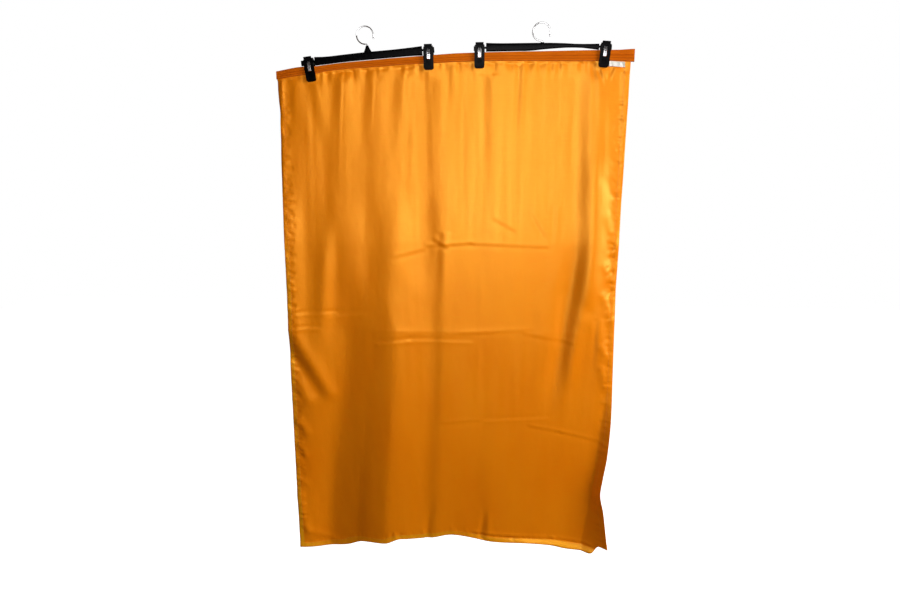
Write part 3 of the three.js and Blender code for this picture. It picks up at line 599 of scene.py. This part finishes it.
def grid_faces(rows, columns, wrap=False):
    """Quads of a grid of points stored row by row. wrap joins the last column to the first."""
    i, j = np.meshgrid(np.arange(rows - 1), np.arange(columns - (0 if wrap else 1)), indexing="ij")
    right = (j + 1) % columns
    a, b, c, d = i * columns + j, i * columns + right, (i + 1) * columns + right, (i + 1) * columns + j
    return np.stack([a, d, c, b], -1).reshape(-1, 4)


def put_uv(thing, across, down):
    """The cloth's own coordinates in metres, for its weave and the run of its threads."""
    mesh = thing.data
    corner = np.zeros(len(mesh.loops), np.int32)
    mesh.loops.foreach_get("vertex_index", corner)
    layer = mesh.uv_layers.new(name="cloth")
    both = np.stack([np.ravel(across)[corner], np.ravel(down)[corner]], -1) * MM
    layer.data.foreach_set("uv", both.astype(np.float32).ravel())


def put_share(thing, name, values):
    """A number from 0 to 1 at each point, which a material reads by its name."""
    attribute = thing.data.attributes.new(name, "FLOAT", "POINT")
    attribute.data.foreach_set("value", np.ravel(values).astype(np.float32))


# Materials

def tree_of(name):
    """A new material with a principled shader, and short ways to add nodes to it."""
    material = bpy.data.materials.new(name)
    material.use_nodes = True
    nodes, links = material.node_tree.nodes, material.node_tree.links
    shader = nodes["Principled BSDF"]

    def add(kind, inputs=(), **settings):
        node = nodes.new("ShaderNode" + kind)
        for key, value in settings.items():
            setattr(node, key, value)
        for key, value in dict(inputs).items():
            socket = node.inputs[key]
            if isinstance(value, bpy.types.NodeSocket):
                links.new(value, socket)
            else:
                socket.default_value = value
        return node

    def shade(**values):
        for key, value in values.items():
            socket = shader.inputs[key.replace("_", " ")]
            if isinstance(value, bpy.types.NodeSocket):
                links.new(value, socket)
            else:
                socket.default_value = value

    return material, add, shade


def noise(add, where, scale, detail=3.0, stretch=(1, 1, 1)):
    """A noise value over coordinates in metres; scale is in waves to the metre."""
    stretched = add("Mapping", {"Vector": where, "Scale": stretch}).outputs[0]
    return add("TexNoise", {"Vector": stretched, "Scale": scale, "Detail": detail}).outputs["Fac"]


def between(add, value, low, high, from_low=0.3, from_high=0.7):
    return add(
        "MapRange",
        {"Value": value, "From Min": from_low, "From Max": from_high, "To Min": low, "To Max": high},
    ).outputs["Result"]


def mixed(add, share, first, second):
    """Two colours mixed by a share: each is three numbers, or the output of a node."""
    first, second = (c if isinstance(c, bpy.types.NodeSocket) else (*c, 1) for c in (first, second))
    return add("Mix", {0: share, 6: first, 7: second}, data_type="RGBA").outputs[2]


def bumped(add, height, strength, distance, under=None):
    """A surface's way out, raised by a value. under is the way out that it starts from."""
    inputs = {"Height": height, "Strength": strength, "Distance": distance}
    if under is not None:
        inputs["Normal"] = under
    return add("Bump", inputs).outputs[0]


# A wave texture makes WAVE / pitch waves to the metre.
WAVE = 0.31
THREAD_DETAIL = {"Distortion": 0.4, "Detail": 1.0}


def threads(add, where, pitch):
    """Warp and weft as two crossed waves, in metres of cloth."""
    inputs = {"Vector": where, "Scale": WAVE / pitch, **THREAD_DETAIL}
    warp, weft = (add("TexWave", inputs, bands_direction=way).outputs["Fac"] for way in "XY")
    return add("Math", {0: warp, 1: weft}, operation="MULTIPLY").outputs[0]


# Each material's noises are waves to the metre, detail and stretch, and its colours are linear.
SATIN_NOISES = {
    "cloud": (7, 4, (1, 0.6, 1)), "streak": (60, 3, (1, 0.05, 1)), "slub": (420, 2, (0.06, 1, 1)),
    "slack": (26, 3, (1, 0.35, 1)),
}
# The satin's "hem" colour is a painted highlight, laid on the hem where it catches the light.
SATIN_COLOURS = {
    "deep": (0.95, 0.218, 0.0005), "lit": (0.99, 0.255, 0.001), "slub": (0.95, 0.3, 0.004),
    "hem": (0.96, 0.46, 0.01), "gloss": (1, 0.63, 0.11),
}
BAND_NOISES = {"cloud": (18, 4, (1, 2, 1)), "slub": (500, 2, (0.1, 1, 1))}
# The band's "crease" colour is painted shade in its creases and a painted shadow along its foot.
BAND_COLOURS = {
    "deep": (0.66, 0.125, 0.002), "lit": (0.74, 0.152, 0.003), "crease": (0.4, 0.06, 0.001),
    "gloss": (1, 0.45, 0.1),
}
LABEL_COLOURS = {"stain": (0.9, 0.85, 0.76), "plain": (0.95, 0.92, 0.85)}
PLASTIC_COLOURS = {"deep": (0.002, 0.002, 0.0024), "worn": (0.006, 0.006, 0.007)}
DULLED = 0.8
THREAD_PITCH = {"satin": 0.0005, "band": 0.0007, "label": 0.0004}


def satin_material():
    material, add, shade = tree_of("satin")
    cloth = add("UVMap", uv_map="cloth").outputs[0]
    cloud, streak, slub, slack = (noise(add, cloth, *row) for row in SATIN_NOISES.values())
    body = mixed(add, between(add, cloud, 0, 1), SATIN_COLOURS["deep"], SATIN_COLOURS["lit"])
    body = mixed(add, between(add, slub, 0, 0.35), body, SATIN_COLOURS["slub"])
    # Painted highlight: where the point share "hem" is high, the cloth is painted in the lighter "hem"
    # colour.
    hem = add("Attribute", attribute_name="hem").outputs["Fac"]
    hem_highlighted = mixed(add, between(add, cloud, 0.15, 0.65), body, SATIN_COLOURS["hem"])
    shade(Base_Color=mixed(add, hem, body, hem_highlighted))
    rough = {0: between(add, streak, 0.34, 0.44), 1: between(add, cloud, -0.03, 0.03)}
    shade(Roughness=add("Math", rough, operation="ADD").outputs[0])
    shade(IOR=1.65)
    shade(Specular_IOR_Level=0.8)
    shade(Specular_Tint=(*SATIN_COLOURS["gloss"], 1))
    weave = bumped(add, threads(add, cloth, THREAD_PITCH["satin"]), 0.12, 0.0001)
    fine = bumped(add, slub, 0.18, 0.0004, weave)
    shade(Normal=bumped(add, slack, 0.32, 0.004, fine))
    return material


def band_material():
    material, add, shade = tree_of("band_cloth")
    cloth = add("UVMap", uv_map="cloth").outputs[0]
    cloud, slub = (noise(add, cloth, *row) for row in BAND_NOISES.values())
    body = mixed(add, between(add, cloud, 0, 1), BAND_COLOURS["deep"], BAND_COLOURS["lit"])
    # Painted shade and shadow: the point share "crease" paints the band darker along its creases and its
    # foot.
    crease = add("Attribute", attribute_name="crease").outputs["Fac"]
    shade(Base_Color=mixed(add, crease, body, BAND_COLOURS["crease"]))
    shade(Roughness=between(add, slub, 0.5, 0.66))
    shade(Specular_IOR_Level=0.15)
    shade(Specular_Tint=(*BAND_COLOURS["gloss"], 1))
    shade(Normal=bumped(add, threads(add, cloth, THREAD_PITCH["band"]), 0.25, 0.0002))
    return material


def label_material():
    material, add, shade = tree_of("label_cloth")
    cloth = add("UVMap", uv_map="cloth").outputs[0]
    stain = noise(add, cloth, 90)
    shade(Base_Color=mixed(add, between(add, stain, 0, 1), LABEL_COLOURS["stain"], LABEL_COLOURS["plain"]))
    shade(Roughness=between(add, stain, 0.6, 0.75))
    shade(Normal=bumped(add, threads(add, cloth, THREAD_PITCH["label"]), 0.3, 0.0002))
    return material


def thread_material(name, colour, lit):
    material, add, shade = tree_of(name)
    where = add("TexCoord").outputs["Object"]
    twist = noise(add, where, 1400, 2)
    shade(Base_Color=mixed(add, between(add, twist, 0, 1), colour, lit))
    shade(Roughness=between(add, twist, 0.4, 0.6))
    return material


def plastic_material():
    material, add, shade = tree_of("black_plastic")
    where = add("TexCoord").outputs["Object"]
    scuff = noise(add, where, 160, 4)
    grain = noise(add, where, 900, 2)
    worn = between(add, scuff, 0, 1, 0.45, 0.75)
    shade(Base_Color=mixed(add, worn, PLASTIC_COLOURS["deep"], PLASTIC_COLOURS["worn"]))
    shade(Roughness=between(add, scuff, 0.12, 0.2))
    shade(Specular_IOR_Level=0.02)
    shade(Normal=bumped(add, grain, 0.01, 0.0002))
    return material


def steel_material(name, colour, rough, stretch):
    """Bright wire or strip, brushed along its stretch, with slightly duller patches."""
    material, add, shade = tree_of(name)
    where = add("TexCoord").outputs["Object"]
    brushed = noise(add, where, 900, 3, stretch)
    dull = noise(add, where, 120)
    shade(Base_Color=mixed(add, between(add, dull, 0, 1), colour, [c * DULLED for c in colour]))
    shade(Metallic=1.0)
    shade(Roughness=between(add, brushed, *rough))
    shade(Normal=bumped(add, brushed, 0.08, 0.0002))
    return material


SATIN = satin_material()
BAND_CLOTH = band_material()
LABEL_CLOTH = label_material()
HEM_THREAD = thread_material("hem_thread", (0.75, 0.2, 0.006), (0.88, 0.3, 0.02))
BAND_THREAD = thread_material("band_thread", (0.42, 0.075, 0.005), (0.55, 0.12, 0.01))
PLASTIC = plastic_material()
SPRING_STEEL = steel_material("spring_steel", (0.5, 0.5, 0.52), (0.22, 0.42), (1, 1, 0.1))
HOOK_STEEL = steel_material("hook_steel", (0.78, 0.78, 0.8), (0.08, 0.2), (1, 1, 1))

# The panel

# Columns and rows stand at these distances from an edge, on the front and on the hem's turned leaf,
# which lies LEAF behind. Nearer the fold than FOLD_STOP, the two are rounded towards each other. Where
# two hems cross, the side hem's layers follow each other forward from CORNER back. The gathers under
# the band get TOP_ROWS of their own. Along the left edge and the foot the hem gets a painted highlight:
# it is painted brighter than the cloth, fully up to the "full" distance from its edge and not at all
# past "none", more and more so down the panel.
EDGE_STOPS = [0, 0.6, 2, 4.5, 7, 9.5, 11.8, 13, 14.2, 16, 19, 23]
HEM_LEAF_STOPS = [15.5, 11, 6, 2, 0.6]
FOLD_STOP, FOLD_BACK, LEAF, ROUNDED = 1.0, 0.62, 0.7, 0.05
CORNER = {"back": 1.8, "share": 0.86}
COLUMNS, TOP_ROWS, ROWS = 240, 20, 290
TOP_REACH = 50.0
NUDGE = 0.4
HEM_HIGHLIGHT = {"full": HEM - 2.5, "none": HEM - 0.5, "from": 250, "to": 800}


def stop(share, shift, layer):
    """One row or column of the panel: its share of the way over, a shift in mm, and its layer back."""
    return share, shift, layer


def edge_stops(side):
    """The stops at an edge, from the raw edge of the turned hem round the fold and onto the front."""
    sign = 1 if side == 0 else -1
    leaf = [stop(side, sign * d, FOLD_BACK if d < FOLD_STOP else LEAF) for d in HEM_LEAF_STOPS]
    fold = [stop(side, 0, LEAF / 2)]
    front = [stop(side, sign * d, ROUNDED if d < FOLD_STOP else 0) for d in EDGE_STOPS[1:]]
    return leaf + fold + front


def inner_stops(count, first, last):
    shares = (i / (count + 1) for i in range(1, count + 1))
    return [stop(t, lerp(first, last, t), 0) for t in shares]


def panel_stops():
    last = EDGE_STOPS[-1]
    columns = edge_stops(0) + inner_stops(COLUMNS, last, -last) + edge_stops(1)[::-1]
    top = [stop(0, -TOP_REACH * i / TOP_ROWS, 0) for i in range(TOP_ROWS + 1)]
    foot = [stop(1, -shift, layer) for _, shift, layer in edge_stops(1)[::-1]]
    return np.array(columns), np.array(top + inner_stops(ROWS, -TOP_REACH, last) + foot)


def sheet_normal(depth, x, z):
    """The way to the back of a sheet that is given by its depth."""
    slope_x = (depth(x + NUDGE, z) - depth(x - NUDGE, z)) / (2 * NUDGE)
    slope_z = (depth(x, z + NUDGE) - depth(x, z - NUDGE)) / (2 * NUDGE)
    back = np.stack([-slope_x, np.ones_like(slope_x), -slope_z], -1)
    return back / np.linalg.norm(back, axis=-1, keepdims=True)


def make_panel():
    columns, rows = panel_stops()
    across, shift_x, layer_x = columns[:, 0], columns[:, 1], columns[:, 2]
    down, shift_z, layer_z = (rows[:, k][:, None] for k in range(3))
    top_x = lerp(left_x(HEAD_Z), right_x(HEAD_Z), across)
    foot_x = lerp(left_x(FOOT_Z), right_x(FOOT_Z), across)
    z = lerp(seam_z(top_x) + TUCK, foot_z(foot_x), down) + shift_z
    x = lerp(left_x(z), right_x(z), across) + shift_x
    back = sheet_normal(panel_depth, x, z)
    stacked = lerp(layer_x, CORNER["back"] - CORNER["share"] * layer_x, layer_z / LEAF)
    layer = np.where(layer_z > 0, stacked, layer_x)
    points = np.stack([x, panel_depth(x, z), z], -1) + back * layer[..., None]
    panel = new_piece("panel_cloth", points.reshape(-1, 3), grid_faces(len(rows), len(columns)), SATIN)
    put_uv(panel, x, z)
    # The hem's painted highlight, along the left edge and the foot only, growing down the panel.
    edge = np.minimum(x - left_x(z), z - foot_z(x))
    highlight_down = ramp(-z, HEM_HIGHLIGHT["from"], HEM_HIGHLIGHT["to"])
    put_share(panel, "hem", (1 - ramp(edge, HEM_HIGHLIGHT["full"], HEM_HIGHLIGHT["none"])) * highlight_down)
    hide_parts("panel")
    return panel


panel = make_panel()

# The heading band: a strip folded over the panel's top, its long edges turned in

BAND_FACE = table(
    "share deep",
    [
        (0.02, 1.95), (0.08, 2.1), (0.16, 2.15), (0.22, 2.1), (0.26, 1.85), (0.30, 1.8), (0.34, 2.0),
        (0.42, 2.1), (0.47, 2.0), (0.51, 1.7), (0.55, 1.65), (0.59, 1.95), (0.68, 2.1), (0.78, 2.1),
        (0.87, 1.95), (0.94, 1.6), (0.98, 1.1), (0.995, 0.5),
    ],
)
# Heights and depths of the turned-in edge, the stations along the strip, half its length, and the
# least depth of its face.
BAND_INNER = [(9.0, 1.05), (5.0, 1.1), (0.7, 1.15), (0.1, 1.5)]
BAND_STATIONS = 330
BAND_HALF = 457.0
BAND_LEAST = 0.75

# A crease in the strip's right half, and the crown's lift at its right end.
END_CREASE = {"from": 190, "to": 470, "share": 0.53, "wide": 0.07, "deep": 1.1}
FLARE = {"from": 415, "to": 457, "up": 1.5}

# The face's unevenness, how the clips press it flat, and the lines along which it looks darker: painted
# shade along its creases, and a painted shadow along its foot.
BAND_WAVES = table("deep long turn", [(0.18, 17.0, 2), (0.14, 7.3, 5), (0.1, 3.7, 0)])
BAND_HELD = {"below": 20, "soft": 12, "deepest": -0.2, "foot": 4}
BAND_LINES = table("share wide", [(0.28, 0.035), (0.53, 0.04)])
LINE_SHADE, FOOT_SHADE, FOOT_SHARE = 0.75, 0.5, 0.03


def band_section(x):
    """Height above the band's foot and depth to the front, from the turned-in edge to the crown."""
    tall = float(band_tall(x))
    worn = END_CREASE["deep"] * float(ramp(x, END_CREASE["from"], END_CREASE["to"]))
    outer = []
    for row in BAND_FACE:
        pit = math.exp(-(((row["share"] - END_CREASE["share"]) / END_CREASE["wide"]) ** 2))
        outer.append((row["share"] * tall, max(row["deep"] - worn * pit, BAND_LEAST)))
    return BAND_INNER + outer


def band_wave(x, share):
    """A slight unevenness of the strip's face."""
    return sum(row["deep"] * math.sin(x / row["long"] + row["turn"] * share) for row in BAND_WAVES)


def make_band():
    points, painted_shades, flat_x, flat_z = [], [], [], []
    for x in np.linspace(-BAND_HALF, BAND_HALF, BAND_STATIONS):
        tall, crown, middle = float(band_tall(x)), float(heading_z(x)), float(band_y(x))
        up_end = FLARE["up"] * float(ramp(x, FLARE["from"], FLARE["to"]))
        held = float(free_of_clips(x, crown - BAND_HELD["below"], BAND_HELD["soft"]))
        front = band_section(x)
        for side, section in ((-1, front), (0, [(tall, 0)]), (1, front[::-1])):
            for up, deep in section:
                share = up / tall
                wave = band_wave(x, share) * (1 - share) * min(1, up / BAND_HELD["foot"])
                depth = middle + side * (deep + max(wave, BAND_HELD["deepest"]) * held)
                points.append((x, depth, crown - tall + up * (1 + up_end / tall)))
                # Painted shade along the creases, and a painted shadow along the band's foot.
                line = sum(math.exp(-(((share - row["share"]) / row["wide"]) ** 2)) for row in BAND_LINES)
                painted_shades.append(min(1, LINE_SHADE * line + FOOT_SHADE * (share < FOOT_SHARE)))
                flat_x.append(x)
                flat_z.append(up * (side or 1))
    columns = len(points) // BAND_STATIONS
    faces = grid_faces(BAND_STATIONS, columns)[:, ::-1]
    band = new_piece("heading_band_cloth", points, faces, BAND_CLOTH)
    put_uv(band, flat_x, flat_z)
    put_share(band, "crease", painted_shades)
    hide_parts("heading_band")
    return band


band = make_band()

# The label: a short strip that hangs from under the band, its lower right corner curled forward

LABEL = {
    "left": 396.0, "right": 435.0, "tall": 12.5, "tilt": 0.02, "lift": 1.2, "drop": 0.6, "clear": 2.0,
    "columns": 40, "rows": 14, "thick": 0.5, "ripple": 0.25, "ripple_long": 5.0, "curl": 0.5,
}


def make_label():
    columns, rows = LABEL["columns"], LABEL["rows"]
    across, down = np.meshgrid(np.linspace(0, 1, columns), np.linspace(0, 1, rows))
    x = lerp(LABEL["left"], LABEL["right"], across)
    top = seam_z(x) - LABEL["drop"] - LABEL["tilt"] * (x - LABEL["left"])
    z = top - LABEL["tall"] * down
    ripple = LABEL["ripple"] * np.sin(x / LABEL["ripple_long"]) * down + LABEL["curl"] * down**3 * across**6
    y = panel_depth(x, z) - LABEL["clear"] - LABEL["lift"] * down - ripple
    points = np.stack([x, y, z], -1).reshape(-1, 3)
    label = new_piece("label_cloth", points, grid_faces(rows, columns), LABEL_CLOTH)
    put_uv(label, x, z)
    solid = label.modifiers.new("thickness", "SOLIDIFY")
    solid.thickness = LABEL["thick"] * MM
    solid.offset = 0
    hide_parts("label")
    return label


label = make_label()

# Stitches: short lengths of thread, each sunk into the cloth at both ends

STITCH = {
    "long": 3.4, "gap": 0.7, "radius": 0.26, "sides": 5, "rings": (0.0, 0.25, 0.75, 1.0), "rise": 0.3,
    "bow": (0.1, 0.8), "thin": 0.6,
}

# Where the lines of stitches run, and how far they stand off the cloth.
HEM_STITCHES = {"inset": 13.0, "top": -16.0, "foot": FOOT_Z + 20, "half": 440.0}
BAND_STITCHES = {"up": 1.9, "proud": 2.15, "half": BAND_HALF - 2, "length": 2 * BAND_HALF - 6}
PROUD = 0.05


def make_stitches(name, lines, material):
    """One piece of all the stitches along the lines.

    A line turns lengths along it into points and the ways out of the cloth there.
    """
    step = STITCH["long"] + STITCH["gap"]
    sides, rings = STITCH["sides"], np.array(STITCH["rings"])
    turns = np.arange(sides) * 2 * np.pi / sides
    bow_from, bow_long = STITCH["bow"]
    bow = np.sin(np.pi * (bow_from + bow_long * rings))
    all_points = []
    for line, length in lines:
        at = np.arange(int(length / step)) * step
        start, out = line(at)
        end, _ = line(at + STITCH["long"])
        ahead = (end - start) / np.linalg.norm(end - start, axis=1, keepdims=True)
        side = np.cross(ahead, out)
        centre = start[:, None] + (end - start)[:, None] * rings[None, :, None]
        centre = centre + out[:, None] * (STITCH["rise"] * (bow - 0.5))[None, :, None]
        radius = STITCH["radius"] * lerp(STITCH["thin"], 1, bow)[None, :, None, None]
        around = np.cos(turns)[:, None] * side[:, None, None] + np.sin(turns)[:, None] * out[:, None, None]
        all_points.append((centre[:, :, None] + radius * around).reshape(-1, 3))
    points = np.concatenate(all_points)
    wall = grid_faces(len(rings), sides, wrap=True).tolist()
    last = (len(rings) - 1) * sides
    wall += [list(range(sides)), list(range(last, last + sides))[::-1]]
    block = len(rings) * sides
    faces = [[i + first for i in face] for first in range(0, len(points), block) for face in wall]
    return new_piece(name, points, faces, material)


def on_panel(x, z, side):
    """Points of the panel's front or back face, and the ways out of it."""
    back = sheet_normal(panel_depth, x, z)
    lift = PROUD if side < 0 else LEAF + PROUD
    return np.stack([x, panel_depth(x, z), z], -1) + side * back * lift, side * back


def hem_lines():
    inset, top, foot, half = (HEM_STITCHES[key] for key in ("inset", "top", "foot", "half"))
    lines = []
    for side in (-1, 1):
        lines.append((lambda s, side=side: on_panel(left_x(top - s) + inset, top - s, side), top - foot))
        lines.append((lambda s, side=side: on_panel(right_x(top - s) - inset, top - s, side), top - foot))
        lines.append((lambda s, side=side: on_panel(s - half, foot_z(s - half) + inset, side), 2 * half))
    return lines


def band_lines():
    def line(s, side):
        x = s - BAND_STITCHES["half"]
        out = np.zeros((len(s), 3))
        out[:, 1] = side
        y = band_y(x) + side * BAND_STITCHES["proud"]
        return np.stack([x, y, seam_z(x) + BAND_STITCHES["up"]], -1), out

    return [(lambda s, side=side: line(s, side), BAND_STITCHES["length"]) for side in (-1, 1)]


hem_stitches = make_stitches("hem_stitches", hem_lines(), HEM_THREAD)
band_stitches = make_stitches("band_stitches", band_lines(), BAND_THREAD)

# Details of the clips that are too fine for the solids, on each front jaw in its own frame: a lip
# round the window, grip ribs under it, a raised tip, and dark bars for the steel strip's slots.

JAW_FACE = table(
    "z out",
    [(11.5, 12.4), (3, 9.8), (-10, 8.6), (-34, 6.9), (-40, 6.3), (-42.5, 6.1), (-50, 4.6)],
)
STRIP_FACE = table("z out", [(-3, 5.45), (-9, 6.95), (-16, 7.05), (-23, 6.15)])
LIP = {"half": 5.5, "top": 1.2, "bottom": -26, "wide": 0.9, "rise": 0.45}
RIBS = {"from": -29.5, "pitch": 2.5, "count": 4, "half": 6.6, "tall": 0.65, "rise": 0.55}
TIP = {"half": 8.2, "top": -41, "bottom": -47, "wide": 0.8, "rise": 0.4}
SLOTS = {"places": (-7, -11.5, -16), "half": 2.1, "tall": 0.8, "rise": 0.06}

# A bar starts a little inside the face, and its sides stand upright before they slope.
LOW_BAR = {"sunk": 0.2, "wall": 0.4, "slope": 0.4}

jaw_out = through(JAW_FACE, "z", "out")
strip_out = through(STRIP_FACE, "z", "out")


def bar_points(x_low, x_high, z_low, z_high, out, rise):
    """A low bar with sloping sides on a face: its foot and its smaller top, for `bar_faces`."""
    slope = min(rise, LOW_BAR["slope"] * (z_high - z_low), LOW_BAR["slope"] * (x_high - x_low))
    points = []
    for inset, height in ((0, -LOW_BAR["sunk"]), (0, LOW_BAR["wall"] * rise), (slope, rise)):
        for x, z in ((x_low, z_low), (x_high, z_low), (x_high, z_high), (x_low, z_high)):
            at_z = z + (inset if z == z_low else -inset)
            at_x = x + (inset if x == x_low else -inset)
            points.append((at_x, -float(out(at_z)) - height, at_z))
    return points


def bar_faces(start):
    faces = [(8, 9, 10, 11)]
    for ring in (0, 4):
        faces += [(ring + i, ring + (i + 1) % 4, ring + 4 + (i + 1) % 4, ring + 4 + i) for i in range(4)]
    return [tuple(start + i for i in face) for face in faces]


def frame_bars(row):
    inner, outer = row["half"] - row["wide"], row["half"]
    low, high = row["bottom"], row["top"]
    return [
        (-outer, -inner, low, high), (inner, outer, low, high),
        (-inner, inner, low, low + row["wide"]), (-inner, inner, high - row["wide"], high),
    ]


def make_clip_details(name, bars, material):
    """One mesh of low bars on all four clips. Each bar is its limits, its face and its rise."""
    points, faces = [], []
    for clip in CLIPS:
        cos, sin = math.cos(clip["lean"]), math.sin(clip["lean"])
        for limits, out, rise in bars:
            faces += bar_faces(len(points))
            for x, y, z in bar_points(*limits, out, rise):
                points.append((clip["x"] + x * cos - z * sin, y, clip["z"] + x * sin + z * cos))
    return new_piece(name, np.array(points), faces, material, smooth=False)


def cross_bar(row, z):
    """The limits of a low bar across a clip."""
    return -row["half"], row["half"], z - row["tall"], z + row["tall"]


trim_bars = [(limits, jaw_out, LIP["rise"]) for limits in frame_bars(LIP)]
trim_bars += [(limits, jaw_out, TIP["rise"]) for limits in frame_bars(TIP)]
for rib in range(RIBS["count"]):
    trim_bars.append((cross_bar(RIBS, RIBS["from"] - RIBS["pitch"] * rib), jaw_out, RIBS["rise"]))
for z in SLOTS["places"]:
    trim_bars.append((cross_bar(SLOTS, z), strip_out, SLOTS["rise"]))
clip_trim = make_clip_details("clip_trim", trim_bars, PLASTIC)

# The hangers: the solids keep their shapes, with rounded edges and better finishes

# Widths of the rounded edges, the least angles in radians of the edges that are rounded, and how near
# points are joined.
BEVELS = {"jaw": 0.7, "spring": 0.15, "bar": 0.5, "hook": 0}
SHARP, BAR_SHARP = 0.5, 0.9
WELD = 0.01


def finish_solid(name, material, bevel, angle=SHARP):
    """Joins a CAD node's faces in the render, rounds its sharp edges and gives it its finish."""
    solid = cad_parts[name]
    solid.data.materials.clear()
    solid.data.materials.append(material)
    solid.data.polygons.foreach_set("use_smooth", [True] * len(solid.data.polygons))
    weld = solid.modifiers.new("weld", "WELD")
    weld.merge_threshold = WELD * MM
    if bevel:
        rounding = solid.modifiers.new("rounding", "BEVEL")
        rounding.width = bevel * MM
        rounding.segments = 2
        rounding.limit_method = "ANGLE"
        rounding.angle_limit = angle
    smooth = solid.modifiers.new("facing", "WEIGHTED_NORMAL")
    smooth.keep_sharp = False


for clip in CLIPS:
    for side in ("front", "back"):
        finish_solid(f"{clip['name']}_{side}_jaw", PLASTIC, BEVELS["jaw"])
    finish_solid(clip["name"] + "_spring", SPRING_STEEL, BEVELS["spring"])
for bar in BARS:
    finish_solid(bar + "_bar", PLASTIC, BEVELS["bar"], BAR_SHARP)
    finish_solid(bar + "_hook", HOOK_STEEL, BEVELS["hook"])

# The floor

def make_floor():
    material, add, shade = tree_of("floor")
    where = add("TexCoord").outputs["Object"]
    shade(Base_Color=mixed(add, noise(add, where, 2), FLOOR["colour"], FLOOR["stain"]))
    shade(Roughness=0.8)
    shade(Emission_Color=(1, 1, 1, 1))
    shade(Emission_Strength=1.0)
    half = FLOOR["half"]
    corners = [(-half, -half), (half, -half), (half, half), (-half, half)]
    mesh = bpy.data.meshes.new("floor")
    points = to_row([(x, y, FLOOR["below"]) for x, y in corners])
    mesh.from_pydata(points.tolist(), [], [(0, 1, 2, 3)])
    mesh.materials.append(material)
    floor = bpy.data.objects.new("floor", mesh)
    bpy.context.scene.collection.objects.link(floor)
    floor.visible_diffuse = False
    floor.visible_glossy = False


make_floor()
